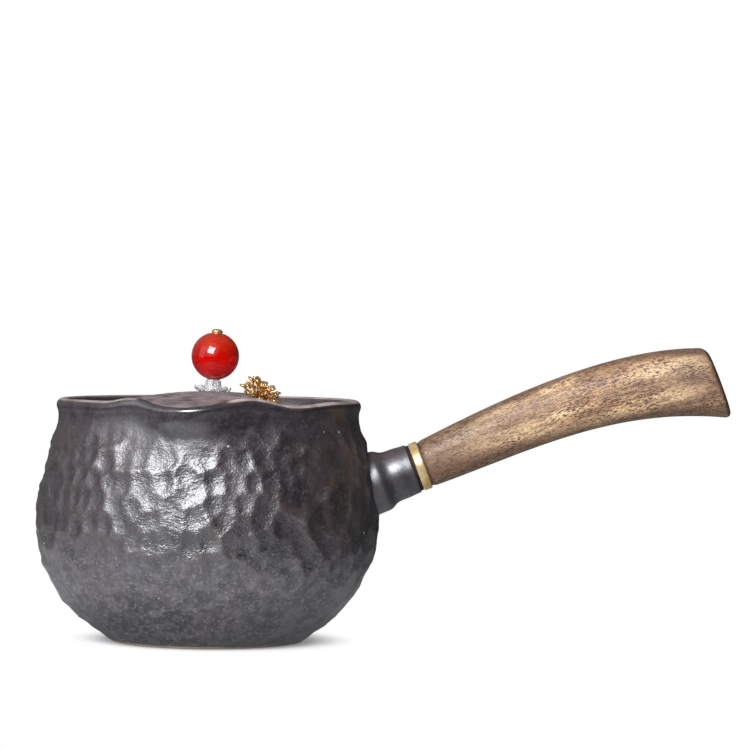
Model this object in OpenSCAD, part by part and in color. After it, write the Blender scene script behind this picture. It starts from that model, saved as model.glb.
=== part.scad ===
// Side handle teapot: a wide glazed pot with a pulled pour lip, a loose lid with a bead knob and a
// gilt flower, and a wooden grip on a tilted socket. Millimetres, +Z up, the origin at the middle
// of the flat base, the handle towards +X and the pour lip towards -Y.

/* [Pot] */
// Widest diameter of the belly
belly_d = 100.2; // [94:0.2:120]
// Height of the belly's widest circle
belly_z = 36; // [32:0.5:40]
// Height of the rim's crest
pot_h = 71; // [67:0.5:84]
// Diameter of the flat base
foot_d = 57; // [48:0.5:62]
// Width of the bevel round the base
foot_bevel_w = 3.3; // [1:0.1:5]
// Height of the bevel round the base
foot_bevel_h = 2.8; // [1:0.1:4]
// How far out the belly's curve sets off from the bevel
foot_run = 9.7; // [6:0.1:12]
// How far up the belly's curve sets off from the bevel
foot_rise = 6.2; // [4:0.1:9]
// Stretch over which the curve comes upright below the widest circle
belly_below = 16; // [10:0.5:18]
// Stretch over which the curve stays upright above the widest circle
belly_above = 12; // [6:0.5:14]
// Diameter of the neck, the waist under the rim
neck_d = 88.6; // [84:0.2:92]
// Height of the rim above the neck
rim_h = 7; // [5:0.2:9]
// Flare of the rim past the neck, on the radius
rim_flare = 0.4; // [0:0.1:2]
// Lean of the shoulder's curve where it comes into the neck
neck_lean = 1.7; // [0.5:0.1:3]
// Stretch over which the shoulder's curve comes into the neck
neck_run = 7; // [4:0.5:9]
// Thickness of the wall
wall = 4; // [3:0.1:5]
// Thickness of the floor
floor_t = 5; // [4:0.1:7]

/* [Pour lip] */
// Angle round the pot from the handle to the pour lip
lip_turn = 93; // [70:1:110]
// Reach of the lip past the rim
lip_reach = 6; // [3:0.5:8]
// Half of the lip's spread round the rim, in degrees
lip_spread = 24; // [18:1:32]
// Drop of the lip's middle below the rim's crest
lip_dip = 0.6; // [0:0.1:2]
// Rise of the pinched hump on each side of the lip
hump_rise = 1.4; // [0:0.1:3]
// Place of each hump, in degrees from the lip's middle
hump_at = 21; // [16:1:28]
// Half of a hump's spread, in degrees
hump_spread = 14; // [9:1:16]
// Number of slots in the strainer comb under the lip
slot_count = 9; // [5:2:11]
// Width of one slot
slot_w = 1.8; // [1:0.1:2.2]
// Angle from one slot to the next
slot_step = 4.4; // [4:0.1:5]

/* [Lid] */
// Rise of the lid's crown above the rim's crest
lid_crown = 2.2; // [1:0.1:6]
// Radius of the lid's dome
dome_r = 110; // [95:1:160]
// Thickness of the lid
lid_wall = 4; // [3.4:0.1:5]
// Play round the lid's edge
lid_play = 1; // [0.5:0.1:1.4]
// Rounding of the lid's edge
lid_round = 1.5; // [0.8:0.1:2]
// Drop from the rim's crest to the ledge that carries the lid
ledge_drop = 9; // [8.4:0.1:10]
// Width of the ledge
ledge_w = 4.3; // [3.4:0.1:6]
// Thickness of the ledge at its inner edge
ledge_t = 3; // [2:0.1:4]
// Depth of the locating flange under the lid
flange_h = 5; // [3:0.1:7]
// Thickness of the locating flange
flange_t = 3; // [2:0.1:4]
// Play between the locating flange and the ledge
flange_play = 0.8; // [0.4:0.1:1.4]
// Gap between the lid and the ledge, left by the rough seat
seat_gap = 0.1; // [0.05:0.05:0.3]

/* [Knob] */
// Diameter of the bead
bead_d = 14; // [12:0.5:17]
// Diameter of the hole through the bead and its seat
bead_hole_d = 2.4; // [2.3:0.1:2.8]
// Diameter of the crown of petals under the bead
seat_d = 11; // [10:0.2:14]
// Height of the bead's lowest point over the seat's foot
seat_h = 4.05; // [3.6:0.05:6]
// Number of petals round the seat
seat_petals = 8; // [6:1:9]
// Distance of the knob from the pot's axis, towards the handle
knob_x = 0.9; // [0:0.1:3]
// Lean of the knob towards the handle, in degrees
knob_lean = 4; // [0:0.5:5]
// Diameter of the knob's screw
screw_d = 2; // [1.6:0.1:2.2]
// Diameter of the screw's head
head_d = 3.4; // [3.2:0.1:4.4]
// Height of the screw's head
head_h = 1.3; // [0.9:0.1:2]

/* [Flower] */
// Place of the flower towards the handle
flower_x = 15.5; // [13:0.5:19]
// Place of the flower towards the pour lip, which is negative
flower_y = -20; // [-22:0.5:-10]
// Lean of the flower past the lid's own slope, in degrees
flower_lean = 4; // [0:0.5:5]
// Number of petals in the outer tier
outer_petals = 12; // [8:1:12]
// Bend of the outer petals, as a radius
outer_bend = 4.8; // [4.2:0.1:6]
// Number of petals in the middle tier
middle_petals = 10; // [7:1:10]
// Bend of the middle petals, as a radius
middle_bend = 8; // [6:0.1:9]
// Number of petals in the inner tier
inner_petals = 8; // [5:1:8]
// Bend of the inner petals, as a radius
inner_bend = 10.5; // [8:0.1:12]
// Width of a petal
petal_w = 0.9; // [0.6:0.05:0.95]
// Thickness of a petal
petal_t = 0.35; // [0.25:0.01:0.45]
// Number of sepals under the petals
sepals = 5; // [4:1:6]
// Width of a sepal
sepal_w = 2; // [1.4:0.1:2.4]
// Diameter of the post that holds the flower
post_d = 1.6; // [1.2:0.1:1.8]

/* [Handle] */
// Drop from the rim's crest to the point where the handle's axis meets the belly's widest circle
handle_drop = 23.84; // [21:0.02:27]
// Rise of the handle's axis, in degrees
handle_tilt = 21; // [14:0.5:26]
// Length of the socket from that point to its mouth
socket_len = 11; // [9:0.1:16]
// Diameter of the socket at its mouth
socket_d = 15; // [14:0.1:18]
// Diameter of the socket's root, where it flares into the belly
root_d = 22; // [19:0.1:25]
// Rounding of the socket's mouth
mouth_round = 1.2; // [0.5:0.1:1.6]
// Diameter of the bore in the socket
socket_bore_d = 9; // [8:0.1:10]
// Depth of the bore in the socket
socket_bore = 9.6; // [7:0.1:10.5]
// Diameter of the stud that joins the grip to the socket
stud_d = 5; // [4:0.5:6]
// Depth of the stud in the grip
stud_in_grip = 28; // [18:0.5:40]
// Thickness of the gasket between socket and ferrule
gasket_t = 0.7; // [0.4:0.1:1.5]
// Diameter of that gasket
gasket_d = 13.4; // [12:0.1:14]
// Width of the ferrule
ferrule_w = 2.7; // [2:0.1:6]
// Diameter of the ferrule
ferrule_d = 14.5; // [13.6:0.1:17]
// Thickness of the ferrule
ferrule_t = 2; // [1:0.1:2.4]

/* [Grip] */
// Length of the grip beyond the ferrule
grip_len = 89.6; // [70:0.2:120]
// Step of the grip inside the ferrule's rim
grip_step = 0.35; // [0:0.05:1]
// Height towards which the grip's top sets off, above the handle's axis
crown_lead = 10.4; // [7:0.1:14]
// Height towards which the grip's top swells
crown_pull = 13.2; // [8:0.1:18]
// Height of the grip's top edge at its tip
tip_top = 3.2; // [0:0.1:9]
// Height towards which the grip's underside sets off
palm_lead = -7.4; // [-12:0.1:-5]
// Height towards which the grip's underside hollows
palm_pull = -3.2; // [-8:0.1:0]
// Height of the grip's lower edge at its tip
tip_bottom = -18.8; // [-26:0.1:-12]
// Width of the grip at its tip
tip_w = 17.6; // [14:0.1:24]
// Rounding of the grip's tip
tip_round = 2; // [0.5:0.1:3.5]

/* [Fixings] */
// Diameter of the soft washer under the lid
soft_washer_d = 8; // [7:0.1:9]
// Thickness of the soft washer under the lid
soft_washer_t = 1; // [0.5:0.1:1.5]
// Diameter of the metal washer under it
hard_washer_d = 6; // [5:0.1:7]
// Thickness of the metal washer
hard_washer_t = 0.5; // [0.3:0.1:1]
// Width of the knob's nut across its flats
nut_w = 4; // [3.6:0.1:5]
// Thickness of the knob's nut
nut_t = 1.6; // [1.2:0.1:2.4]
// Diameter of the washer on the flower's post
post_washer_d = 4.4; // [3.8:0.1:5]
// Thickness of the washer on the flower's post
post_washer_t = 0.4; // [0.3:0.1:0.8]
// Width of the nut on the flower's post across its flats
post_nut_w = 3.2; // [2.8:0.1:4]
// Thickness of the nut on the flower's post
post_nut_t = 1.3; // [1:0.1:2]

/* [Hidden] */

$fn = 96;

// Clearances, and the small steps that keep cuts clean
thread_fit = 0.05;   // a thread in its nut or bore, on the radius
push_fit = 0.05;     // a spigot, sleeve or bead in its seat, on the radius
screw_play = 0.2;    // a screw or post in a plain hole, on the radius
spot_play = 0.3;     // a spot face round what sits on it, on the radius
past = 1;            // how far a cutting shape runs past what it cuts
skin_step = 0.05;    // step of the rim's many-sided skin inside the round shoulder

// Pot
belly_r = belly_d / 2;
neck_r = neck_d / 2;
neck_z = pot_h - rim_h;
ledge_z = pot_h - ledge_drop;
ledge_r = neck_r - wall - ledge_w;
shoulder_top = 0.76;     // place on the shoulder's curve where the pulled rim starts
chamber_top = 0.6;       // place on the shoulder's curve where the ledge's underside starts
sides = 72;              // sides of the rim's skin
floor_round = 0.5;       // lowest start of the wall above the floor
floor_slope = 2;         // how flat the corner between floor and wall is
lower_steps = 14;
upper_steps = 8;
rim_steps = 8;
foot_top = [foot_d / 2 + foot_bevel_w, foot_bevel_h];
lower_curve = [
    foot_top,
    foot_top + [foot_run, foot_rise],
    [belly_r, belly_z - belly_below],
    [belly_r, belly_z]
];
upper_curve = [
    [belly_r, belly_z],
    [belly_r, belly_z + belly_above],
    [neck_r + neck_lean, neck_z - neck_run],
    [neck_r, neck_z]
];
shoulder = bezier(upper_curve, shoulder_top);
pull_power = 1.5;        // how late the lip turns out as it rises

// Lid
lid_r = neck_r - wall - lid_play;
lid_top = pot_h + lid_crown;
dome_c = lid_top - dome_r;
flange_out = ledge_r - flange_play;
flange_in = flange_out - flange_t;
dome_steps = 12;

// Knob, from the spot face upwards
knob_sink = 0.7;
knob_land = 2.8;
seat_plate_h = 1.2;
seat_petal_d = 2.5;
seat_petal_h = 2.1;
seat_petal_tilt = 16;
hub_foot_r = 3.3;
hub_top_r = 2.2;
bead_r = bead_d / 2;
bead_z = seat_h + bead_r;
bead_flat = 0.3;
bead_top_z = bead_z + bead_r - bead_flat;
screw_end = 0.5;

// Flower, from its spot face upwards
flower_sink = 0.45;
flower_land = 2.9;
flower_pitch = asin(-flower_y / dome_r);
flower_roll = asin(flower_x / dome_r) + flower_lean;
calyx_r = 2.6;
calyx_h = 1;
tier_h = 0.6;
tier_r = [2.4, 2, 1.6];              // hubs of the outer, middle and inner tiers
tier_rise = [8, 30, 55];             // slopes at which their petals set off
tier_sweep = [62, 45, 33];           // angles through which their petals bend
petal_root = 0.3;                    // how deep a petal is rooted in its hub
tip_swell = 1.15;                    // a petal's round tip against its width
tip_proud = 0.06;                    // how far that tip stands proud of each face
sepal_bend = 9;
sepal_rise = 12;
sepal_sweep = 20;
stamen_count = 7;
stamen_r = 0.24;
stamen_tip_r = 0.42;
stamen_h = 2.6;
stamen_lean = 14;
button_r = 1;
button_h = 0.7;
post_grip = 0.4;
post_end = 0.4;

// Handle, along its own axis
handle_z = pot_h - handle_drop;
ferrule_z = socket_len + gasket_t;
grip_z = ferrule_z + ferrule_w;
spigot_d = ferrule_d - 2 * ferrule_t;
socket_in = 6;                       // how far the socket's root runs into the wall
flare_steps = 10;
flare_lead = 0.25;                   // share of the flare that its first stretch takes
bore_floor = 0.3;                    // gap past each end of the stud
ferrule_bevel = 0.4;

// Grip
front_r = ferrule_d / 2 - grip_step;
lead_at = 0.32;                      // places along the grip of the points that its curves head for
crown_at = 0.7;
palm_at = 0.632;
grip_body = grip_len - tip_round;
grip_sides = 28;
grip_steps = 24;
tip_steps = 5;
roundness = 2.25;                    // power of the grip's rounded section
crown_end = (tip_top - crown_pull) / (grip_len * (1 - crown_at));
palm_end = (tip_bottom - palm_pull) / (grip_len * (1 - palm_at));
crown_curve = [
    [0, front_r],
    [grip_len * lead_at, crown_lead],
    [grip_len * crown_at, crown_pull],
    [grip_body, tip_top - crown_end * tip_round]
];
palm_curve = [
    [0, -front_r],
    [grip_len * lead_at, palm_lead],
    [grip_len * palm_at, palm_pull],
    [grip_body, tip_bottom - palm_end * tip_round]
];

// Point and direction on a cubic curve with four control points
function bezier(p, t) =
    pow(1 - t, 3) * p[0] + 3 * t * pow(1 - t, 2) * p[1] + 3 * t * t * (1 - t) * p[2] + pow(t, 3) * p[3];
function bezier_way(p, t) =
    let (d = pow(1 - t, 2) * (p[1] - p[0]) + 2 * t * (1 - t) * (p[2] - p[1]) + t * t * (p[3] - p[2]))
    d / norm(d);

// Points along a stretch of a curve, and the same stretch moved inwards by a wall's thickness
function stretch(p, from, to, n) = [for (i = [0:n]) bezier(p, from + (to - from) * i / n)];
function inset(p, from, to, n, depth) =
    [for (i = [0:n])
        let (t = from + (to - from) * i / n, way = bezier_way(p, t))
        bezier(p, t) + depth * [-way[1], way[0]]];

// Points of an arc
function arc(centre, r, from, to, n) =
    [for (i = [0:n]) let (a = from + (to - from) * i / n) centre + r * [cos(a), sin(a)]];

// A smooth bump, 1 in the middle and 0 from -1 and 1 outwards
function bump(x) = abs(x) < 1 ? pow(cos(90 * x), 2) : 0;

// A smooth ramp from 0 at low to 1 at high
function ramp(v, low, high) = let (t = min(1, max(0, (v - low) / (high - low)))) t * t * (3 - 2 * t);

// Power of a sine or cosine that keeps its sign, for a rounded section
function rounded(v) = sign(v) * pow(abs(v), 2 / roundness);

// Side faces of a skin over rings of n points each
function skin_faces(rings, n) =
    [for (k = [0:rings - 2], j = [0:n - 1], half = [0, 1])
        let (a = k * n + j, b = k * n + (j + 1) % n)
        half == 0 ? [a, a + n, b + n] : [a, b + n, b]];

// A closed solid over rings of n points each, with flat ends
module skin(points, n) {
    rings = len(points) / n;
    first = [[for (j = [0:n - 1]) j]];
    last = [[for (j = [n - 1:-1:0]) (rings - 1) * n + j]];
    polyhedron(points = points, faces = concat(first, skin_faces(rings, n), last));
}

// Rim's section from its root in the shoulder over the crest and down to the ledge
rim_r = neck_r + rim_flare - wall / 2;
rim_section = concat(
    [shoulder - [wall / 2, past], shoulder - [skin_step, 0]],
    stretch(upper_curve, (3 * shoulder_top + 1) / 4, 1, 3),
    arc([rim_r, pot_h - wall / 2], wall / 2, 0, 180, rim_steps),
    [[neck_r - wall, ledge_z]]
);

// A point of the rim's section at an angle from the lip, pulled out, raised and lowered
function pulled(q, from_lip) =
    let (height = (q[1] - shoulder[1]) / (pot_h - shoulder[1]),
         reach = lip_reach * bump(from_lip / lip_spread) * pow(max(0, height), pull_power),
         hump = hump_rise * bump((abs(from_lip) - hump_at) / hump_spread),
         dip = lip_dip * bump(from_lip / hump_at),
         turn = from_lip - lip_turn,
         r = q[0] + reach)
    [r * cos(turn), r * sin(turn), q[1] + (hump - dip) * ramp(q[1], ledge_z, pot_h)];

// Frames of the knob, the flower and the handle
module on_knob() {
    translate([knob_x, 0, lid_top - knob_sink])
        rotate([0, knob_lean, 0])
            children();
}

module on_flower() {
    across = norm([flower_x, flower_y]);
    translate([flower_x, flower_y, dome_c + sqrt(dome_r * dome_r - across * across)])
        rotate([flower_pitch, flower_roll, 0])
            translate([0, 0, -flower_sink])
                children();
}

module on_handle() {
    translate([belly_r, 0, handle_z])
        rotate([0, 90 - handle_tilt, 0])
            children();
}

// A round disc or ring from one height to another
module ring(from, to, r, hole_r) {
    difference() {
        translate([0, 0, from])
            cylinder(h = to - from, r = r);
        translate([0, 0, from - past])
            cylinder(h = to - from + 2 * past, r = hole_r);
    }
}

// A hexagon nut from one height to another
module hex_nut(from, to, flats, hole_r) {
    difference() {
        translate([0, 0, from])
            cylinder(h = to - from, r = flats / sqrt(3), $fn = 6);
        translate([0, 0, from - past])
            cylinder(h = to - from + 2 * past, r = hole_r);
    }
}

// The two spot faces and the hole for a post that goes through the lid
module lid_fixing(top_r, land, under_r, hole_r) {
    room = 4 * lid_wall;
    cylinder(h = room, r = top_r);
    translate([0, 0, -land - room])
        cylinder(h = room, r = under_r);
    translate([0, 0, -land - past])
        cylinder(h = land + 2 * past, r = hole_r);
}

// Pot

module pot_shoulder_and_belly() {
    rotate_extrude()
        polygon(concat(
            [[0, 0], [foot_d / 2, 0]],
            stretch(lower_curve, 0, 1, lower_steps),
            stretch(upper_curve, shoulder_top / upper_steps, shoulder_top, upper_steps - 1),
            [[0, shoulder[1]]]
        ));
}

module pot_rim() {
    step = 360 / sides;
    skin([for (q = rim_section, j = [0:sides - 1])
             pulled(q, j > sides / 2 ? (j - sides) * step : j * step)],
         sides);
}

module chamber() {
    low = [for (q = inset(lower_curve, 0, 1, lower_steps, wall)) if (q[1] > floor_t + floor_round) q];
    high = inset(upper_curve, chamber_top / upper_steps, chamber_top, upper_steps - 1, wall);
    rotate_extrude()
        polygon(concat(
            [[0, floor_t], [low[0][0] - floor_slope * (low[0][1] - floor_t), floor_t]],
            low,
            high,
            [[ledge_r, ledge_z - ledge_t], [ledge_r, ledge_z + past], [0, ledge_z + past]]
        ));
}

module strainer_slots() {
    low = bezier(upper_curve, chamber_top)[1] - wall;
    for (i = [0:slot_count - 1])
        rotate([0, 0, (i - (slot_count - 1) / 2) * slot_step - lip_turn])
            translate([ledge_r - past, -slot_w / 2, low])
                cube([ledge_w + past, slot_w, ledge_z + past - low]);
}

module socket() {
    flare = [
        [root_d / 2, -socket_in],
        [root_d / 2 - (root_d - socket_d) * flare_lead, -socket_in / 4],
        [socket_d / 2, socket_in / 4],
        [socket_d / 2, socket_in]
    ];
    on_handle()
        rotate_extrude()
            polygon(concat(
                [[0, -socket_in]],
                stretch(flare, 0, 1, flare_steps),
                arc([socket_d / 2 - mouth_round, socket_len - mouth_round], mouth_round, 0, 90, 6),
                [[0, socket_len]]
            ));
}

module pot_body() {
    color([0.25, 0.24, 0.25])
        difference() {
            union() {
                pot_shoulder_and_belly();
                pot_rim();
                socket();
            }
            chamber();
            strainer_slots();
            on_handle()
                translate([0, 0, socket_len - socket_bore])
                    cylinder(h = socket_bore + past, r = socket_bore_d / 2);
        }
}

// Lid

module lid() {
    under = dome_r - lid_wall;
    edge_r = lid_r - lid_round;
    edge_c = [edge_r, dome_c + sqrt(pow(dome_r - lid_round, 2) - edge_r * edge_r)];
    edge_turn = acos(edge_r / (dome_r - lid_round));
    in_turn = acos(flange_in / under);
    color([0.4, 0.36, 0.35])
        difference() {
            rotate_extrude()
                polygon(concat(
                    arc([0, dome_c], under, 90, in_turn, dome_steps),
                    [[flange_in, ledge_z - flange_h], [flange_out, ledge_z - flange_h]],
                    [[flange_out, ledge_z + seat_gap], [lid_r, ledge_z + seat_gap]],
                    arc(edge_c, lid_round, 0, edge_turn, 6),
                    arc([0, dome_c], dome_r, edge_turn + (90 - edge_turn) / dome_steps, 90, dome_steps - 1)
                ));
            on_knob()
                lid_fixing(seat_d / 2 + spot_play, knob_land, soft_washer_d / 2 + spot_play,
                           screw_d / 2 + screw_play);
            on_flower()
                lid_fixing(calyx_r + spot_play, flower_land, post_washer_d / 2 + spot_play,
                           post_d / 2 + screw_play);
        }
}

// Knob

module seat_petal() {
    round_r = seat_petal_d / 2;
    out = seat_d / 2 - round_r - seat_petal_h * sin(seat_petal_tilt);
    translate([out, 0, seat_plate_h / 2])
        rotate([0, seat_petal_tilt, 0]) {
            cylinder(h = seat_petal_h, r = round_r);
            translate([0, 0, seat_petal_h])
                sphere(r = round_r);
        }
}

module knob_seat() {
    plate_r = seat_d / 2 - seat_petal_d / 4;
    hub_h = bead_z - sqrt(bead_r * bead_r - hub_top_r * hub_top_r);
    color([0.85, 0.9, 0.92, 0.5])
        on_knob()
            difference() {
                union() {
                    cylinder(h = seat_plate_h, r = plate_r);
                    translate([0, 0, seat_plate_h - past / 2])
                        cylinder(h = hub_h - seat_plate_h + past / 2, r1 = hub_foot_r, r2 = hub_top_r);
                    for (i = [0:seat_petals - 1])
                        rotate([0, 0, (i + 0.5) * 360 / seat_petals])
                            seat_petal();
                }
                translate([0, 0, bead_z])
                    sphere(r = bead_r + push_fit);
                translate([0, 0, -past])
                    cylinder(h = seat_h + 2 * past, r = bead_hole_d / 2);
            }
}

module knob_bead() {
    color([0.75, 0.1, 0.03])
        on_knob()
            difference() {
                translate([0, 0, bead_z])
                    sphere(r = bead_r);
                translate([0, 0, bead_top_z])
                    cylinder(h = bead_r, r = bead_r);
                translate([0, 0, bead_z - bead_r - past])
                    cylinder(h = bead_d + 2 * past, r = bead_hole_d / 2);
            }
}

module knob_screw() {
    low = -knob_land - soft_washer_t - hard_washer_t - nut_t - screw_end;
    dome = (pow(head_d / 2, 2) + head_h * head_h) / (2 * head_h);
    rim_turn = acos(head_d / 2 / dome);
    color([0.83, 0.68, 0.36])
        on_knob() {
            translate([0, 0, low])
                cylinder(h = bead_top_z - low + head_h / 2, r = screw_d / 2);
            translate([0, 0, bead_top_z])
                rotate_extrude()
                    polygon(concat([[0, 0]], arc([0, head_h - dome], dome, rim_turn, 90, 10)));
        }
}

module knob_gasket() {
    color([0.9, 0.9, 0.88])
        on_knob()
            ring(-knob_land - soft_washer_t, -knob_land, soft_washer_d / 2, screw_d / 2 + thread_fit);
}

module knob_washer() {
    top = -knob_land - soft_washer_t;
    color([0.8, 0.66, 0.36])
        on_knob()
            ring(top - hard_washer_t, top, hard_washer_d / 2, screw_d / 2 + thread_fit);
}

module knob_nut() {
    top = -knob_land - soft_washer_t - hard_washer_t;
    color([0.8, 0.66, 0.36])
        on_knob()
            hex_nut(top - nut_t, top, nut_w, screw_d / 2 + thread_fit);
}

// Flower

// A strip that sets off from its root at a slope, bends upwards and ends in a round tip
module petal(root_r, root_z, bend, rise, sweep, width, thick) {
    translate([root_r - bend * sin(rise), 0, root_z + bend * cos(rise)])
        rotate([90, 0, 0]) {
            rotate([0, 0, rise - 90])
                rotate_extrude(angle = sweep)
                    translate([bend - thick / 2, -width / 2])
                        square([thick, width]);
            rotate([0, 0, rise - 90 + sweep])
                translate([bend - thick / 2 - tip_proud, 0, 0])
                    rotate([0, 90, 0])
                        cylinder(h = thick + 2 * tip_proud, r = width * tip_swell / 2);
        }
}

// A hub with its petals: tier 0 is the outer one, 1 the middle and 2 the inner
module petal_tier(tier, count, bend) {
    low = calyx_h + tier * tier_h;
    color([0.8, 0.6, 0.25])
        on_flower() {
            ring(low, low + tier_h, tier_r[tier], post_d / 2 + thread_fit);
            for (i = [0:count - 1])
                rotate([0, 0, (i + tier / 2) * 360 / count])
                    petal(tier_r[tier] - petal_root, low + tier_h / 2, bend,
                          tier_rise[tier], tier_sweep[tier], petal_w, petal_t);
        }
}

module flower_calyx() {
    low = -flower_land - post_washer_t - post_nut_t - post_end;
    high = calyx_h + 3 * tier_h + post_grip;
    color([0.78, 0.58, 0.24])
        on_flower() {
            cylinder(h = calyx_h, r = calyx_r);
            translate([0, 0, low])
                cylinder(h = high - low, r = post_d / 2);
            for (i = [0:sepals - 1])
                rotate([0, 0, (i + 0.5) * 360 / sepals])
                    petal(calyx_r - petal_root, calyx_h - petal_t / 2 - tip_proud, sepal_bend,
                          sepal_rise, sepal_sweep, sepal_w, petal_t);
        }
}

module flower_outer_petals() {
    petal_tier(0, outer_petals, outer_bend);
}

module flower_middle_petals() {
    petal_tier(1, middle_petals, middle_bend);
}

module flower_inner_petals() {
    petal_tier(2, inner_petals, inner_bend);
}

module stamen() {
    cylinder(h = stamen_h, r = stamen_r);
    translate([0, 0, stamen_h])
        sphere(r = stamen_tip_r);
}

module flower_stamens() {
    low = calyx_h + 3 * tier_h;
    color([0.85, 0.68, 0.32])
        on_flower()
            difference() {
                union() {
                    translate([0, 0, low])
                        cylinder(h = button_h, r = button_r);
                    translate([0, 0, low + button_h / 2])
                        stamen();
                    for (i = [0:stamen_count - 2])
                        rotate([0, 0, i * 360 / (stamen_count - 1)])
                            translate([button_r - 2 * stamen_r, 0, low + button_h / 2])
                                rotate([0, stamen_lean, 0])
                                    stamen();
                }
                translate([0, 0, low - past])
                    cylinder(h = post_grip + thread_fit + past, r = post_d / 2 + thread_fit);
            }
}

module flower_washer() {
    color([0.78, 0.58, 0.24])
        on_flower()
            ring(-flower_land - post_washer_t, -flower_land, post_washer_d / 2, post_d / 2 + thread_fit);
}

module flower_nut() {
    top = -flower_land - post_washer_t;
    color([0.78, 0.58, 0.24])
        on_flower()
            hex_nut(top - post_nut_t, top, post_nut_w, post_d / 2 + thread_fit);
}

// Handle

module socket_sleeve() {
    color([0.62, 0.46, 0.3])
        on_handle()
            ring(socket_len - socket_bore, socket_len, socket_bore_d / 2 - push_fit,
                 stud_d / 2 + thread_fit);
}

module handle_stud() {
    low = socket_len - socket_bore + bore_floor;
    color([0.7, 0.7, 0.72])
        on_handle()
            translate([0, 0, low])
                cylinder(h = grip_z + stud_in_grip - low, r = stud_d / 2);
}

module handle_gasket() {
    color([0.08, 0.07, 0.07])
        on_handle()
            ring(socket_len, ferrule_z, gasket_d / 2, stud_d / 2 + push_fit);
}

module handle_ferrule() {
    out = ferrule_d / 2;
    hole = spigot_d / 2 + push_fit;
    color([0.8, 0.7, 0.45])
        on_handle()
            translate([0, 0, ferrule_z])
                rotate_extrude()
                    polygon([
                        [hole, 0],
                        [out - ferrule_bevel, 0],
                        [out, ferrule_bevel],
                        [out, ferrule_w - ferrule_bevel],
                        [out - ferrule_bevel, ferrule_w],
                        [hole, ferrule_w]
                    ]);
}

// A ring of the grip: the middle and half height of its section, its half width and how far the
// rounded tip has drawn it in
function grip_ring(middle, half, half_w, drawn) =
    let (shrink = 1 - drawn / norm(half))
    [for (j = [0:grip_sides - 1])
        let (a = 360 * j / grip_sides, at = middle + half * shrink * rounded(cos(a)))
        [-at[1], -(half_w - drawn) * rounded(sin(a)), at[0]]];

module handle_grip() {
    body = [for (i = [0:grip_steps])
        let (t = i / grip_steps, high = bezier(crown_curve, t), low = bezier(palm_curve, t))
        each grip_ring((high + low) / 2, (high - low) / 2, front_r + (tip_w / 2 - front_r) * ramp(t, 0, 1),
                       0)];
    high = crown_curve[3];
    low = palm_curve[3];
    way = [1, (crown_end + palm_end) / 2];
    tip = [for (i = [1:tip_steps])
        let (a = 90 * i / tip_steps)
        each grip_ring((high + low) / 2 + tip_round * sin(a) * way, (high - low) / 2, tip_w / 2,
                       tip_round * (1 - cos(a)))];
    color([0.6, 0.45, 0.3])
        on_handle()
            difference() {
                union() {
                    translate([0, 0, grip_z])
                        skin(concat(body, tip), grip_sides);
                    translate([0, 0, ferrule_z])
                        cylinder(h = 2 * ferrule_w, r = spigot_d / 2);
                }
                translate([0, 0, ferrule_z - past])
                    cylinder(h = grip_z - ferrule_z + stud_in_grip + bore_floor + past,
                             r = stud_d / 2 + thread_fit);
            }
}

pot_body();
lid();
knob_seat();
knob_bead();
knob_screw();
knob_gasket();
knob_washer();
knob_nut();
flower_calyx();
flower_outer_petals();
flower_middle_petals();
flower_inner_petals();
flower_stamens();
flower_washer();
flower_nut();
socket_sleeve();
handle_stud();
handle_gasket();
handle_ferrule();
handle_grip();
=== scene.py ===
# %% [markdown]
# A side handle teapot, dressed
#
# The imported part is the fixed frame: its bodies, its nodes and the joint that lifts the lid are
# already in place, in metres. This lesson builds the skins that the eye sees around that frame. It
# works in millimetres, like the part's own drawing, and turns them into metres as a mesh is made.

import math

import bpy
import numpy as np
from mathutils import Matrix


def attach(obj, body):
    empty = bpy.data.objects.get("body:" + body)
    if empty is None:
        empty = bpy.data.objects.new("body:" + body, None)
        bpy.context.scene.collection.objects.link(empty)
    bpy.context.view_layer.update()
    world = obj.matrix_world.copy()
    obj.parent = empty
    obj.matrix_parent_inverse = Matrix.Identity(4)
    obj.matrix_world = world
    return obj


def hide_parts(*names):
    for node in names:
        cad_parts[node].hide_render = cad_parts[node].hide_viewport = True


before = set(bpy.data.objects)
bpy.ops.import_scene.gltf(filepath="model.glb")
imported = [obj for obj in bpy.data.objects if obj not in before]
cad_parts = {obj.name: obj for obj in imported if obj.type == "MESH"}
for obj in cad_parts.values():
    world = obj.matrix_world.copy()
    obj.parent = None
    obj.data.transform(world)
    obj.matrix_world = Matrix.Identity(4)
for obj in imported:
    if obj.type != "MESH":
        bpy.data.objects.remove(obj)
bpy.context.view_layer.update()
MM = 0.001
TURN = 2 * math.pi

# %% [markdown]
# Camera
#
# The pot was seen from a metre away, a little above its rim, with a long lens. A camera could be aimed
# with a Track To constraint, but here its three directions are worked out from a pitch and a small
# roll, so that the picture lies exactly as the photograph does.

# %% Camera
IMAGE_PX = 750
FOCAL_PX = 3400
SENSOR_MM = 36
CAMERA_PLACE = (0.0487, -1.0, 0.0982)
CAMERA_PITCH = math.radians(-1.13)
CAMERA_ROLL = math.radians(0.6)


def camera_matrix(place, pitch, roll):
    """Forward is +Y turned up by the pitch. The level right and up are turned by the roll about it."""
    level_right = np.array([1, 0, 0])
    level_up = np.array([0, -math.sin(pitch), math.cos(pitch)])
    forward = np.array([0, math.cos(pitch), math.sin(pitch)])
    right = math.cos(roll) * level_right + math.sin(roll) * level_up
    up = math.cos(roll) * level_up - math.sin(roll) * level_right
    columns = np.column_stack([right, up, -forward, place])
    return Matrix(np.vstack([columns, [0, 0, 0, 1]]).tolist())


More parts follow.
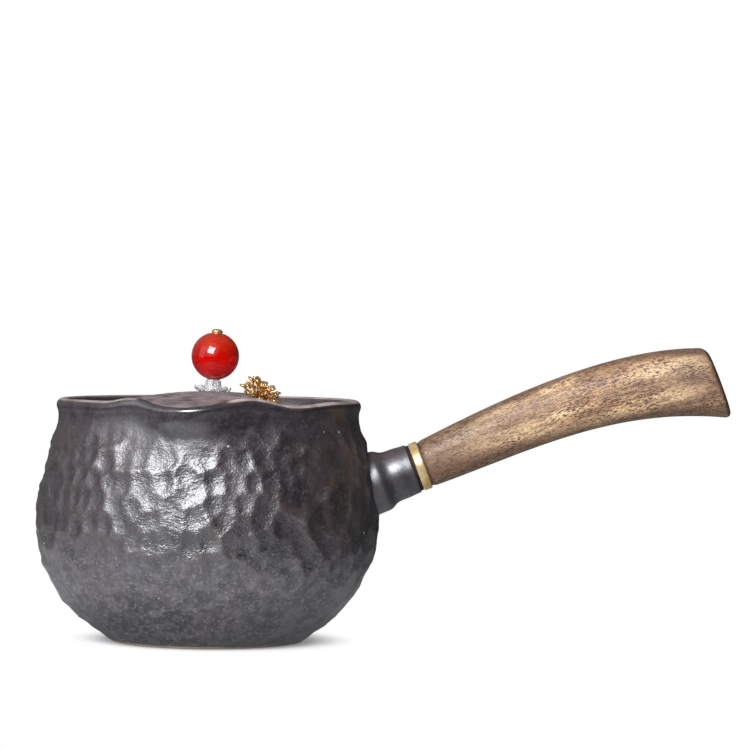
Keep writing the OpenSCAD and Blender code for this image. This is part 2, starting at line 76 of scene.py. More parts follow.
camera_data = bpy.data.cameras.new("camera")
camera_data.sensor_width = SENSOR_MM
camera_data.lens = SENSOR_MM * FOCAL_PX / IMAGE_PX
camera = bpy.data.objects.new("camera", camera_data)
camera.matrix_world = camera_matrix(CAMERA_PLACE, CAMERA_PITCH, CAMERA_ROLL)
bpy.context.scene.collection.objects.link(camera)
bpy.context.scene.camera = camera
bpy.context.scene.view_settings.view_transform = "Standard"
print("lens", round(camera_data.lens, 1), "mm")

# %% [markdown]
# Nodes in a few words
#
# Every finish below is a small network of shader nodes. One helper makes a node, sets it up and feeds
# its inputs, either with a constant or with another node's output, so that a finish reads as a list.

# %% Helpers for nodes


def add(tree, kind, feeds=None, **settings):
    """One new node. Settings are its own properties; feeds gives each input a constant or an output."""
    node = tree.nodes.new("ShaderNode" + kind)
    for key, value in settings.items():
        setattr(node, key, value)
    for key, value in (feeds or {}).items():
        if isinstance(value, bpy.types.NodeSocket):
            tree.links.new(value, node.inputs[key])
        else:
            node.inputs[key].default_value = value
    return node


def mixed(tree, share, first, second):
    """A colour that goes from the first to the second as the share goes from 0 to 1."""
    node = add(tree, "Mix", {0: share, 6: first, 7: second}, data_type="RGBA")
    return node.outputs[2]


def ranged(tree, value, low, high, to_low=0.0, to_high=1.0):
    """A value carried smoothly from one range to another and held at its ends."""
    feeds = {"Value": value, "From Min": low, "From Max": high, "To Min": to_low, "To Max": to_high}
    return add(tree, "MapRange", feeds, interpolation_type="SMOOTHSTEP").outputs[0]


def maths(tree, operation, first, second=0.0):
    """One step of arithmetic, such as a sum or a product, on two values."""
    return add(tree, "Math", {0: first, 1: second}, operation=operation).outputs[0]


def masked(tree, colour, mask, share, tone):
    """The colour with a tone laid over it, by a mask times a share."""
    return mixed(tree, maths(tree, "MULTIPLY", mask, share), colour, tone)


def blended(tree, share, first, second):
    """A shader that goes from the first to the second as the share goes from 0 to 1."""
    return add(tree, "MixShader", {0: share, 1: first.outputs[0], 2: second.outputs[0]})


def place_on(tree):
    """A point's place in its piece's own frame, in metres, which stays the same when the piece moves."""
    return add(tree, "TexCoord").outputs["Object"]


def read_mark(tree, name, output="Fac"):
    """What a piece keeps at its points under a name: a value, or with the output Vector a vector."""
    return add(tree, "Attribute", attribute_name=name).outputs[output]


def rgb(red, green, blue):
    """A colour as a screen shows it, from 0 to 255, as the linear value that a shader needs."""
    shown = np.array([red, green, blue]) / 255
    linear = np.where(shown <= 0.04045, shown / 12.92, ((shown + 0.055) / 1.055) ** 2.4)
    return (*linear.tolist(), 1.0)


def new_finish(name, **constants):
    """A material with one Principled shader, and the constants of that shader's own sockets."""
    material = bpy.data.materials.new(name)
    material.use_nodes = True
    tree = material.node_tree
    tree.nodes.clear()
    feeds = {key.replace("_", " "): value for key, value in constants.items()}
    shader = add(tree, "BsdfPrincipled", feeds)
    add(tree, "OutputMaterial", {"Surface": shader.outputs[0]})
    return material, tree, shader


def feed(tree, shader, **outputs):
    """Link outputs into the shader's sockets, whose names are written with an underscore for a space."""
    for key, value in outputs.items():
        tree.links.new(value, shader.inputs[key.replace("_", " ")])


print("node helpers ready")

# %% [markdown]
# Floor and light
#
# The pot stands on a plain white sweep in a studio. One large soft lamp hangs in front, up and to the
# left, and the room is paler behind the pot than in front of it and darkest on the right. The lamps
# could do all of this, but a sky that changes with direction is smoother in a glossy glaze. Light Path
# tells the rays apart: to the camera the floor is mostly its own white and the rest of it takes the
# pot's shadow, while the glaze mirrors a sheet that ends on a dark table.

# %% Floor
COOL_WHITE = (0.93, 0.95, 1.0, 1.0)
FLOOR_HALF = 12.0
FLOOR_DROP = 0.1 * MM
FLOOR_WHITE = 0.86
FLOOR_GLOW = 0.2
SHADOW_NEAR, SHADOW_FAR = 0.027, 0.045
FOOT_SHADOW_NEAR, FOOT_SHADOW_FAR, FOOT_SHADOW = 0.0285, 0.034, 0.72
SHADE_NEAR, SHADE_FAR, SHADE = 0.03, 0.07, 0.35
SHEET_FRONT, SHEET_END = -0.05, -0.30
SHEET_MIDDLE, SHEET_HALF, SHEET_SIDE = -0.055, 0.065, 0.18
SHEET_SHINE, SHEET_DULL = 0.78, 0.12
TABLE_GREY = 0.06


def floor_finish():
    """A white sheet with a painted shadow, darker paint where the foot touches it. Reflections show it as
    an even tone, with a painted shadow near the pot, that ends on a dark table in front and to the sides.
    To the camera it is also white by itself: a part of it near the pot, where the shadow shows, and all
    of it far away, by the distance from the axis."""
    material = bpy.data.materials.new("floor_white")
    material.use_nodes = True
    tree = material.node_tree
    tree.nodes.clear()
    place = place_on(tree)
    away = add(tree, "VectorMath", {0: place}, operation="LENGTH").outputs["Value"]
    # Painted shadow: the paint darkens within a few millimetres of the foot.
    tone = ranged(tree, away, FOOT_SHADOW_NEAR, FOOT_SHADOW_FAR, FOOT_SHADOW * FLOOR_WHITE, FLOOR_WHITE)
    paint = add(tree, "BsdfDiffuse", {"Color": tone})
    white = add(tree, "Emission", {"Color": (1, 1, 1, 1), "Strength": 1.0})
    part = add(tree, "Emission", {"Color": (1, 1, 1, 1), "Strength": FLOOR_GLOW})
    near = add(tree, "AddShader", {0: part.outputs[0], 1: paint.outputs[0]})
    way = add(tree, "SeparateXYZ", {0: place})
    shine = ranged(tree, way.outputs["Y"], SHEET_END, SHEET_FRONT, TABLE_GREY, SHEET_SHINE)
    beside = maths(tree, "ABSOLUTE", maths(tree, "SUBTRACT", way.outputs["X"], SHEET_MIDDLE))
    middle = ranged(tree, beside, SHEET_SIDE, SHEET_HALF, SHEET_DULL, 1.0)
    # Painted shadow in reflections: the mirrored sheet is darker near the pot.
    shaded = ranged(tree, away, SHADE_NEAR, SHADE_FAR, SHADE, 1.0)
    shine = maths(tree, "MULTIPLY", maths(tree, "MULTIPLY", shine, middle), shaded)
    mirrored = add(tree, "Emission", {"Color": COOL_WHITE, "Strength": shine})
    far = ranged(tree, away, SHADOW_NEAR, SHADOW_FAR)
    seen = blended(tree, far, near, white)
    path = add(tree, "LightPath").outputs
    lit = blended(tree, path["Is Glossy Ray"], paint, mirrored)
    both = blended(tree, path["Is Camera Ray"], lit, seen)
    add(tree, "OutputMaterial", {"Surface": both.outputs[0]})
    return material


floor_mesh = bpy.data.meshes.new("floor")
floor_corners = np.array([[-1, -1], [1, -1], [1, 1], [-1, 1]]) * FLOOR_HALF
floor_points = np.column_stack([floor_corners, np.full(4, -FLOOR_DROP)])
floor_mesh.from_pydata(floor_points.tolist(), [], [(0, 1, 2, 3)])
floor_mesh.materials.append(floor_finish())
floor = bpy.data.objects.new("floor", floor_mesh)
bpy.context.scene.collection.objects.link(floor)
print("floor", 2 * FLOOR_HALF, "m wide")

# %% Sky and lamps
SKY_FRONT, SKY_BACK = 0.02, 0.05
BACK_FROM, BACK_TO = 0.0, 0.8
SKY_ABOVE, SKY_ABOVE_MIRRORED = 0.44, 0.14
ABOVE_FROM, ABOVE_TO = 0.3, 0.95
SKY_LEFT = 0.18
LEFT_FROM, LEFT_TO = 0.3, -0.7
SKY_GLOW, GLOW_WIDE = 0.8, 0.72
LAMP_AIM = (0.0, 0.0, 0.045)
LAMP_TONE = (0.95, 0.97, 1.0)
KEY_PLACE = (-0.28, -0.80, 0.57)
KEY_ROLL = math.radians(-10)
KEY_SIZE, KEY_POWER = (0.54, 0.54), 11.8
SIDE_PLACE = (-0.82, -0.35, 0.3)
SIDE_SIZE, SIDE_POWER = (0.5, 0.9), 0.9


def studio_sky():
    """Brightness of the room by direction: the front, and what the back, the top, the left and a glow
    round the key lamp add. The top is dimmer in reflections, as if its lamps were flagged off."""
    world = bpy.data.worlds.new("studio")
    bpy.context.scene.world = world
    world.use_nodes = True
    tree = world.node_tree
    tree.nodes.clear()
    direction = add(tree, "TexCoord").outputs["Generated"]
    way = add(tree, "SeparateXYZ", {0: direction})
    back = ranged(tree, way.outputs["Y"], BACK_FROM, BACK_TO, SKY_FRONT, SKY_BACK)
    path = add(tree, "LightPath").outputs
    top = ranged(tree, path["Is Glossy Ray"], 0.0, 1.0, SKY_ABOVE, SKY_ABOVE_MIRRORED)
    above = ranged(tree, way.outputs["Z"], ABOVE_FROM, ABOVE_TO, 0.0, top)
    left = ranged(tree, way.outputs["X"], LEFT_FROM, LEFT_TO, 0.0, SKY_LEFT)
    to_key = (np.array(KEY_PLACE) / np.linalg.norm(KEY_PLACE)).tolist()
    facing = add(tree, "VectorMath", {0: direction, 1: to_key}, operation="DOT_PRODUCT")
    glow = ranged(tree, facing.outputs["Value"], GLOW_WIDE, 1.0, 0.0, SKY_GLOW)
    level = maths(tree, "ADD", maths(tree, "ADD", back, above), maths(tree, "ADD", left, glow))
    room = add(tree, "Background", {"Color": COOL_WHITE, "Strength": level})
    white = add(tree, "Background", {"Color": (1, 1, 1, 1), "Strength": 1.0})
    seen = maths(tree, "MAXIMUM", path["Is Camera Ray"], path["Is Transmission Ray"])
    both = blended(tree, seen, room, white)
    add(tree, "OutputWorld", {"Surface": both.outputs[0]})


def soft_lamp(name, place, roll, size, power):
    """A flat lamp that faces the pot, turned by the roll about the line between them."""
    data = bpy.data.lights.new(name, "AREA")
    data.shape = "RECTANGLE"
    data.size, data.size_y = size
    data.energy = power
    data.color = LAMP_TONE
    lamp = bpy.data.objects.new(name, data)
    back = np.array(place) - np.array(LAMP_AIM)
    back = back / np.linalg.norm(back)
    level = np.cross([0, 0, 1], back)
    level = level / np.linalg.norm(level)
    right = math.cos(roll) * level + math.sin(roll) * np.cross(back, level)
    columns = np.column_stack([right, np.cross(back, right), back, place])
    lamp.matrix_world = Matrix(np.vstack([columns, [0, 0, 0, 1]]).tolist())
    lamp.visible_camera = False
    bpy.context.scene.collection.objects.link(lamp)


studio_sky()
soft_lamp("key_lamp", KEY_PLACE, KEY_ROLL, KEY_SIZE, KEY_POWER)
soft_lamp("side_lamp", SIDE_PLACE, 0.0, SIDE_SIZE, SIDE_POWER)
print("a soft box of", KEY_POWER, "W and a strip lamp of", SIDE_POWER, "W")

# %% [markdown]
# From arrays to a piece
#
# Each skin below is a grid: rings of points, one after another, worked out as whole arrays. Blender
# could spin or loft curves with modifiers, but a grid in numpy shows the formula itself. The helper
# closes the grid, turns its faces outwards by the sign of the volume they enclose, and seats the piece
# on its body in the place of the node that it stands for, with its finish.

# %% Helpers for grids


def grid_faces(rows, cols, joined=False):
    """Four-sided faces between neighbouring rings, each ring closed; joined closes the rings as well."""
    row = np.arange(rows if joined else rows - 1)[:, None]
    col = np.arange(cols)[None, :]
    after = (row + 1) % rows
    beside = (col + 1) % cols
    corners = [row * cols + col, row * cols + beside, after * cols + beside, after * cols + col]
    return np.stack(np.broadcast_arrays(*corners), axis=-1).reshape(-1, 4)


def shell(rings, joined=False):
    """Points and faces over rings. Unless joined, a fan from the middle of each end ring closes it."""
    rows, cols = rings.shape[:2]
    points = rings.reshape(-1, 3)
    faces = grid_faces(rows, cols, joined).tolist()
    if not joined:
        points = np.vstack([points, rings[0].mean(axis=0), rings[-1].mean(axis=0)])
        ring = np.arange(cols)
        beside = np.roll(ring, -1)
        last = (rows - 1) * cols
        first_pole = np.full(cols, rows * cols)
        faces += np.column_stack([first_pole, beside, ring]).tolist()
        faces += np.column_stack([first_pole + 1, last + ring, last + beside]).tolist()
    return points, faces


def together(shells):
    """Several shells as one: the faces of each are counted on from the points before it."""
    starts = np.cumsum([0] + [len(points) for points, faces in shells])
    points = np.vstack([points for points, faces in shells])
    parts = zip([faces for points, faces in shells], starts)
    faces = [[v + start for v in face] for part, start in parts for face in part]
    return points, faces


def enclosed(points, faces):
    """Volume inside, as the sum of the corner products of a fan of triangles over each face."""
    fans = [(f[0], f[i], f[i + 1]) for f in faces for i in range(1, len(f) - 1)]
    a, b, c = points[np.array(fans)].transpose(1, 0, 2)
    return float(np.einsum("ij,ij->", a, np.cross(b, c)) / 6)


def add_piece(name, skin, finish, body, node, sharp=40):
    """Make a mesh of points in millimetres, smooth but for edges sharper than an angle in degrees, and
    seat it on a body in the place of a node."""
    points, faces = skin
    volume = enclosed(points, faces)
    if volume < 0:
        faces = [face[::-1] for face in faces]
    mesh = bpy.data.meshes.new(name)
    mesh.from_pydata((points * MM).tolist(), [], faces)
    mesh.materials.append(finish)
    mesh.polygons.foreach_set("use_smooth", np.ones(len(mesh.polygons), bool))
    mesh.set_sharp_from_angle(angle=math.radians(sharp))
    mesh.update()
    piece = bpy.data.objects.new(name, mesh)
    bpy.context.scene.collection.objects.link(piece)
    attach(piece, body)
    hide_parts(node)
    print(name, len(faces), "faces,", round(abs(volume) / 1000, 2), "ml")
    return piece


def mark(piece, name, values):
    """Keep a value or a vector for each point of a piece, as an attribute that its finish reads."""
    kind, field = ("FLOAT", "value") if values.ndim == 1 else ("FLOAT_VECTOR", "vector")
    attribute = piece.data.attributes.new(name, kind, "POINT")
    attribute.data.foreach_set(field, values.astype(np.float32).ravel())


def mark_all(piece, name, value):
    """Keep the same value for all points of a piece."""
    mark(piece, name, np.full(len(piece.data.vertices), value))


def bezier(points, t):
    """Cubic curve: four points weighted by (1-t)^3, 3t(1-t)^2, 3t^2(1-t) and t^3."""
    p = np.asarray(points, float)
    t = np.asarray(t, float)[:, None]
    return (1 - t) ** 3 * p[0] + 3 * t * (1 - t) ** 2 * p[1] + 3 * t**2 * (1 - t) * p[2] + t**3 * p[3]


def arc(centre, radius, start, end, steps):
    """Points of a circle from one angle to another, in degrees."""
    a = np.radians(np.linspace(start, end, steps))
    return np.column_stack([centre[0] + radius * np.cos(a), centre[1] + radius * np.sin(a)])


def ramp(value, low, high):
    """A smooth step, 3t^2 - 2t^3, from 0 at low to 1 at high."""
    t = np.clip((np.asarray(value, float) - low) / (high - low), 0, 1)
    return t * t * (3 - 2 * t)


def bump(x):
    """The square of a cosine: 1 in the middle, 0 from -1 and 1 outwards."""
    return np.where(np.abs(x) < 1, np.cos(np.clip(x, -1, 1) * math.pi / 2) ** 2, 0)


def circle(count):
    """Angles of points spaced evenly round a full turn."""
    return np.arange(count) / count * TURN


def turned(profile, around):
    """Rings of a profile of radius and height that is carried round an axis."""
    a = circle(around)
    r, z = profile[:, 0][:, None], profile[:, 1][:, None]
    return np.stack([r * np.cos(a), r * np.sin(a), np.broadcast_to(z, (len(profile), around))], axis=-1)


def placed(points, origin, axes):
    """Points of a piece's own frame carried into the pot's frame: origin plus each part along its axis."""
    return np.asarray(points) @ np.asarray(axes) + np.asarray(origin)


print("grid helpers ready")

# %% [markdown]
# Effects that several finishes share
#
# Fired glaze, wood and metal all vary in the same few ways: cloudy patches of tone, fine grain that
# catches the light, and streaks that run one way. Each is one node group with its own inputs, so a
# finish only says how large and how strong it is. The groups give masks and heights, and the shaders
# stay in the finishes.

# %% Shared node groups


def new_group(name, inputs, output):
    """An empty group with float inputs and their defaults, a vector input, and one float output."""
    group = bpy.data.node_groups.new(name, "ShaderNodeTree")
    group.interface.new_socket("Vector", in_out="INPUT", socket_type="NodeSocketVector")
    for key, value in inputs.items():
        socket = group.interface.new_socket(key, in_out="INPUT", socket_type="NodeSocketFloat")
        socket.default_value = value
    group.interface.new_socket(output, in_out="OUTPUT", socket_type="NodeSocketFloat")
    start = group.nodes.new("NodeGroupInput")
    end = group.nodes.new("NodeGroupOutput")
    return group, start.outputs, end.inputs[0]


def cloud_group():
    """Patches: noise of a given scale, and its values between low and high stretched to 0 and 1."""
    group, given, out = new_group("cloud", {"Scale": 100.0, "Low": 0.4, "High": 0.6}, "Mask")
    noise = add(group, "TexNoise", {"Vector": given["Vector"], "Scale": given["Scale"], "Detail": 4.0})
    group.links.new(ranged(group, noise.outputs[0], given["Low"], given["High"]), out)
    return group


FINER_TIMES = 2.7


def peel_group():
    """Height of fine grain: noise, plus a share of finer noise."""
    group, given, out = new_group("peel", {"Scale": 1000.0, "Finer": 0.4}, "Height")
    coarse = add(group, "TexNoise", {"Vector": given["Vector"], "Scale": given["Scale"], "Detail": 0.5})
    finer_scale = maths(group, "MULTIPLY", given["Scale"], FINER_TIMES)
    fine = add(group, "TexNoise", {"Vector": given["Vector"], "Scale": finer_scale, "Detail": 1.0})
    share = maths(group, "MULTIPLY", fine.outputs[0], given["Finer"])
    group.links.new(maths(group, "ADD", coarse.outputs[0], share), out)
    return group


def streak_group():
    """Streaks along the first axis: noise of a vector whose first part is scaled less than the others."""
    inputs = {"Along": 0.1, "Across": 1.0, "Low": 0.4, "High": 0.6}
    group, given, out = new_group("streak", inputs, "Mask")
    part = add(group, "SeparateXYZ", {0: given["Vector"]})
    x = maths(group, "MULTIPLY", part.outputs["X"], given["Along"])
    y = maths(group, "MULTIPLY", part.outputs["Y"], given["Across"])
    z = maths(group, "MULTIPLY", part.outputs["Z"], given["Across"])
    vector = add(group, "CombineXYZ", {0: x, 1: y, 2: z})
    noise = add(group, "TexNoise", {"Vector": vector.outputs[0], "Scale": 1.0, "Detail": 3.0})
    group.links.new(ranged(group, noise.outputs[0], given["Low"], given["High"]), out)
    return group


CLOUD = cloud_group()
PEEL = peel_group()
STREAK = streak_group()


def effect(tree, group, vector, **values):
    """Place a shared group in a finish with that finish's own values."""
    return add(tree, "Group", {"Vector": vector, **values}, node_tree=group).outputs[0]


def bumped(tree, height, strength, distance_mm):
    """A normal tilted by a height, whose full range stands for a distance in millimetres."""
    feeds = {"Height": height, "Strength": strength, "Distance": distance_mm * MM}
    return add(tree, "Bump", feeds).outputs[0]


print("groups", [group.name for group in (CLOUD, PEEL, STREAK)])

# %% [markdown]
# Iron glaze
#
# The pot wears a dark iron glaze, satin and slightly metallic, that turns brown where it ran thin on the
# ridges between the hammer marks. Along the rim's top edge it is pale in patches, where its thin glaze
# carries a painted highlight. A curvature node could find those places, but a number kept at each point,
# from the formula that shapes the wall, is exact. Towards the foot the glaze is drier and dusted with
# grey, and the foot's edge is wiped bare and shows tan clay.

# %% Iron glaze
DRY_FROM, DRY_TO = 36 * MM, 18 * MM
BARE_FROM, BARE_TO, BARE_STRAY = 0.9 * MM, 0.5 * MM, 0.3 * MM
SMOOTH_ROUGH, SATIN_ROUGH, BARE_ROUGH = 0.22, (0.36, 0.46), 0.85


def iron_glaze():
    """Iron black in clouds, brown by the mark of thinness, pale with a painted highlight where that mark
    runs high on the rim, grey dust below, rare specks and bare clay at the foot. The mark of beating gives
    the roughness and the height of the orange peel."""
    material, tree, shader = new_finish("iron_glaze", IOR=2.4)
    place = place_on(tree)
    thin_and_sheen = read_mark(tree, "thin_and_sheen")
    cloudy = effect(tree, CLOUD, place, Scale=90.0, Low=0.35, High=0.68)
    colour = mixed(tree, cloudy, rgb(20, 11, 13), rgb(48, 37, 42))
    warm = effect(tree, CLOUD, place, Scale=45.0, Low=0.48, High=0.72)
    colour = masked(tree, colour, warm, 0.5, rgb(50, 32, 30))
    broken = effect(tree, CLOUD, place, Scale=700.0, Low=0.3, High=0.6)
    colour = masked(tree, colour, thin_and_sheen, broken, rgb(78, 60, 53))
    height = add(tree, "SeparateXYZ", {0: place}).outputs["Z"]
    dry = ranged(tree, height, DRY_FROM, DRY_TO, 0.25, 1.0)
    mottle = effect(tree, CLOUD, place, Scale=330.0, Low=0.4, High=0.68)
    colour = masked(tree, colour, mottle, maths(tree, "MULTIPLY", dry, 0.75), rgb(83, 77, 84))
    # Painted highlight: pale patches along the rim's top edge, laid in with its thin glaze, where the mark
    # runs high.
    patchy_sheen = effect(tree, CLOUD, place, Scale=130.0, Low=0.4, High=0.6)
    patchy_sheen = ranged(tree, patchy_sheen, 0.0, 1.0, 0.55, 1.0)
    colour = masked(tree, colour, ranged(tree, thin_and_sheen, 0.45, 0.85), patchy_sheen, rgb(184, 168, 160))
    dusty = effect(tree, CLOUD, place, Scale=1100.0, Low=0.5, High=0.72)
    colour = masked(tree, colour, dusty, maths(tree, "MULTIPLY", dry, 0.8), rgb(109, 106, 113))
    cells = add(tree, "TexVoronoi", {"Vector": place, "Scale": 260.0, "Randomness": 1.0})
    speck = ranged(tree, cells.outputs["Distance"], 0.10, 0.05)
    rare = add(tree, "SeparateColor", {0: cells.outputs["Color"]}).outputs[0]
    colour = masked(tree, colour, speck, ranged(tree, rare, 0.93, 0.96), rgb(205, 200, 195))
    wiped = maths(tree, "ADD", height, maths(tree, "MULTIPLY", cloudy, BARE_STRAY))
    bare = ranged(tree, wiped, BARE_FROM, BARE_TO)
    colour = mixed(tree, bare, colour, rgb(196, 170, 138))
    satin = effect(tree, CLOUD, place, Scale=150.0, Low=0.3, High=0.7)
    beat = read_mark(tree, "beat")
    rough = ranged(tree, beat, 0.1, 0.5, SMOOTH_ROUGH, ranged(tree, satin, 0.0, 1.0, *SATIN_ROUGH))
    rough = maths(tree, "MAXIMUM", rough, maths(tree, "MULTIPLY", bare, BARE_ROUGH))
    flat = add(tree, "VectorMath", {0: place, 1: (1.0, 1.0, 1.3)}, operation="MULTIPLY").outputs[0]
    crinkle = effect(tree, PEEL, flat, Scale=620.0, Finer=0.8)
    crinkle = maths(tree, "MULTIPLY", crinkle, ranged(tree, beat, 0.3, 1.0))
    feed(tree, shader, Base_Color=colour, Roughness=rough, Normal=bumped(tree, crinkle, 1.0, 0.18))
    return material


IRON_GLAZE = iron_glaze()
print("finish", IRON_GLAZE.name)

# %% [markdown]
# Pot wall
#
# The pot was thrown round, and its soft wall was then beaten all over, so that shallow dishes meet in
# soft ridges. A bump map would leave the outline smooth, and the outline is where the beating shows
# best, so the dishes are geometry. Each is a parabola about its own centre; the wall follows the
# lowest one, blended where two meet. The dishes are drawn from a seeded generator, so every run is
# the same, and they fade towards the rim, the foot, the throat of the lip and the root of the handle.

# %% Pot profile
BELLY_R, BELLY_Z, POT_H = 50.1, 36.0, 71.0
BASE_R, BASE_IN, BASE_ROWS = 27.9, 3, 9
FOOT_TOP, FOOT_PULL = np.array([31.8, 2.8]), (9.7, 6.2)
BELLY_PULL_DOWN, BELLY_PULL_UP = 16, 12
NECK, NECK_PULL = np.array([44.3, 64.0]), (1.7, -7)
WALL, FLOOR_Z, FLOOR_CORNER, FLOOR_CLEAR = 4.0, 5.0, 3, 0.5
LEDGE_Z, MOUTH_Z, MOUTH_TOP_R, MOUTH_LOW_R = 62.0, 68, 40.65, 40.3
RIM_C, RIM_R = (42.7, 69.0), 2.0
RIM_TURN = np.linspace(-14, 180, 18)
LOWER_ROWS, UPPER_ROWS, UNDER_LEDGE_ROWS, MOUTH_ROWS = 62, 48, 28, 6
POT_AROUND = 416

belly = (BELLY_R, BELLY_Z)
lower_curve = [FOOT_TOP, FOOT_TOP + FOOT_PULL, (BELLY_R, BELLY_Z - BELLY_PULL_DOWN), belly]
upper_curve = [belly, (BELLY_R, BELLY_Z + BELLY_PULL_UP), NECK + NECK_PULL, NECK]


def inset(profile, depth):
    """A profile moved inwards by a wall's thickness, along its normals."""
    way = np.gradient(profile, axis=0)
    way /= np.linalg.norm(way, axis=1)[:, None]
    return profile + depth * np.column_stack([-way[:, 1], way[:, 0]])


base_rows = np.column_stack([np.linspace(BASE_IN, BASE_R, BASE_ROWS), np.zeros(BASE_ROWS)])
foot_rows = np.array([[28.3, 0.06], [28.55, 0.3], [29.4, 0.85], [30.3, 1.55], [31.1, 2.2]])
lower_rows = bezier(lower_curve, np.linspace(0, 1, LOWER_ROWS))
upper_rows = bezier(upper_curve, np.linspace(0, 1, UPPER_ROWS)[1:])
neck_rows = np.array([[44.18, 65.2], [44.12, 66.2], [44.2, 67.1], [44.45, 67.9]])
rim_rows = arc(RIM_C, RIM_R, RIM_TURN[0], RIM_TURN[-1], len(RIM_TURN))
mouth_r = np.linspace(MOUTH_TOP_R, MOUTH_LOW_R, MOUTH_ROWS)
inner_rows = np.column_stack([mouth_r, np.linspace(MOUTH_Z, LEDGE_Z, MOUTH_ROWS)])
under_rows = np.array([[40.6, 60], [41.4, 58], [42.4, 55.8]])
wall_rows = inset(np.vstack([lower_rows, upper_rows[:UNDER_LEDGE_ROWS]]), WALL)[::-2]
wall_rows = wall_rows[wall_rows[:, 1] > FLOOR_Z + FLOOR_CLEAR]
floor_r = np.linspace(wall_rows[-1, 0] - FLOOR_CORNER, BASE_IN, BASE_ROWS)
floor_rows = np.column_stack([floor_r, np.full(BASE_ROWS, FLOOR_Z)])
outer_rows = np.vstack([foot_rows, lower_rows, upper_rows, neck_rows, rim_rows])
pot_profile = np.vstack([base_rows, outer_rows, inner_rows, under_rows, wall_rows, floor_rows])
outside = slice(len(base_rows), len(base_rows) + len(outer_rows))
rim = slice(outside.stop - len(rim_rows), outside.stop)
print("pot profile", len(pot_profile), "rows,", len(outer_rows), "of them outside")

# %% Hammered dishes
DISHES_ROUND, DISH_ROW, DISH_SEED = 56, 6.0, 11
DISH_ACROSS, DISH_ALONG, DISH_BLEND = 0.07, 0.047, 6.0
DISH_STRAY, DISH_SINK, DISH_VARY = 0.36, 0.16, 0.3


def beaten(angle, along, radius, seed):
    """Height in millimetres of a wall beaten with dishes. Their centres stand in staggered rows, each
    moved at random; a dish rises with the square of the distance from its centre, and the soft least
    of all dishes is minus the log of the sum of exp(-blend * dish), over the blend."""
    draw = np.random.default_rng(seed)
    u = (angle / TURN * DISHES_ROUND)[None, :]
    v = (along / DISH_ROW)[:, None]
    rows = int(v.max()) + 4
    move = draw.uniform(-DISH_STRAY, DISH_STRAY, (2, rows, DISHES_ROUND))
    depth = draw.uniform(0.0, DISH_SINK, (rows, DISHES_ROUND))
    bend = draw.uniform(1 - DISH_VARY, 1 + DISH_VARY, (rows, DISHES_ROUND))
    total = 0
    for down in (-1, 0, 1):
        for beside in (-1, 0, 1):
            row = np.floor(v) + down
            at_row = (row + 1).astype(int)
            col = np.floor(u - 0.5 * (row % 2)) + beside
            at_col = col.astype(int) % DISHES_ROUND
            beside_by = u - (col + 0.5 + 0.5 * (row % 2) + move[0][at_row, at_col])
            across = beside_by * (TURN * radius[:, None] / DISHES_ROUND)
            away = (v - (row + 0.5 + move[1][at_row, at_col])) * DISH_ROW
            dish = (DISH_ACROSS * across**2 + DISH_ALONG * away**2) * bend[at_row, at_col]
            total = total + np.exp(-DISH_BLEND * (dish + depth[at_row, at_col]))
    return -np.log(total) / DISH_BLEND


pot_angles = circle(POT_AROUND)
outer = pot_profile[outside]
outer_way = np.gradient(outer, axis=0)
outer_way /= np.linalg.norm(outer_way, axis=1)[:, None]
outer_normal = np.column_stack([outer_way[:, 1], -outer_way[:, 0]])
outer_along = np.concatenate([[0], np.cumsum(np.linalg.norm(np.diff(outer, axis=0), axis=1))])
marks = beaten(pot_angles, outer_along, outer[:, 0], DISH_SEED)
print("dishes between", np.round(marks.min(), 2), "and", np.round(marks.max(), 2), "mm")

# %% [markdown]
# Pour lip and rim
#
# At the front a finger pulled the soft rim out into a pour lip, with a hump of the edge on each side of
# it. A sculpting brush or a lattice could do that, but a formula keeps the lip where the part's own lip
# is. The pull is a bump in angle that grows with height, as on the solid. Here it starts lower on the
# wall and is even from the rim's middle up, the face under the edge stands upright, and the edge itself
# is flatter and waves a little unevenly, as it does on a pot made by hand.

# %% Pour lip
LIP_TURN = 93.0
LIP_REACH, LIP_SPREAD, LIP_START = 5.0, 24.0, 46.0
WAVE_TURN, LIP_DIP, DIP_SPREAD = 4.5, 0.75, 18.0
SAG, SAG_AT, SAG_SPREAD = 0.8, 40.0, 22.0
LEFT_RISE, LEFT_AT, LEFT_SPREAD = 1.1, -24.5, 13.0
RIGHT_RISE, RIGHT_AT, RIGHT_SPREAD = 1.5, 22.0, 18.0


def from_lip(angle):
    """Degrees from the lip's direction, between -180 and 180."""
    return (np.degrees(angle) + LIP_TURN + 180) % 360 - 180


def pulled(radius, height, angle):
    """Radius and height moved by the lip: out by a bump times the square of the height above its start,
    even from the rim's middle up, and up by two humps less two hollows."""
    away = from_lip(angle)[None, :]
    share = np.clip((height - LIP_START) / (RIM_C[1] - LIP_START), 0, 1) ** 2
    left = LEFT_RISE * bump((away - LEFT_AT) / LEFT_SPREAD)
    right = RIGHT_RISE * bump((away - RIGHT_AT) / RIGHT_SPREAD)
    hollows = LIP_DIP * bump((away + WAVE_TURN) / DIP_SPREAD) + SAG * bump((away - SAG_AT) / SAG_SPREAD)
    rise = (left + right - hollows) * ramp(height, LEDGE_Z, POT_H)
    return radius + LIP_REACH * bump(away / LIP_SPREAD) * share, height + rise


print("lip", LIP_REACH, "mm out over", 2 * LIP_SPREAD, "degrees")

# %% Line of the handle
HANDLE_O = np.array([BELLY_R, 0.0, 47.16])
HANDLE_TILT = math.radians(21)
HANDLE_AXIS = np.array([math.cos(HANDLE_TILT), 0, math.sin(HANDLE_TILT)])
HANDLE_UP = np.array([-math.sin(HANDLE_TILT), 0, math.cos(HANDLE_TILT)])
HANDLE_SIDE = np.array([0.0, -1.0, 0.0])
HANDLE_AXES = np.array([HANDLE_UP, HANDLE_SIDE, HANDLE_AXIS])
FAR_BEHIND, FAR_OFF = -30, 99


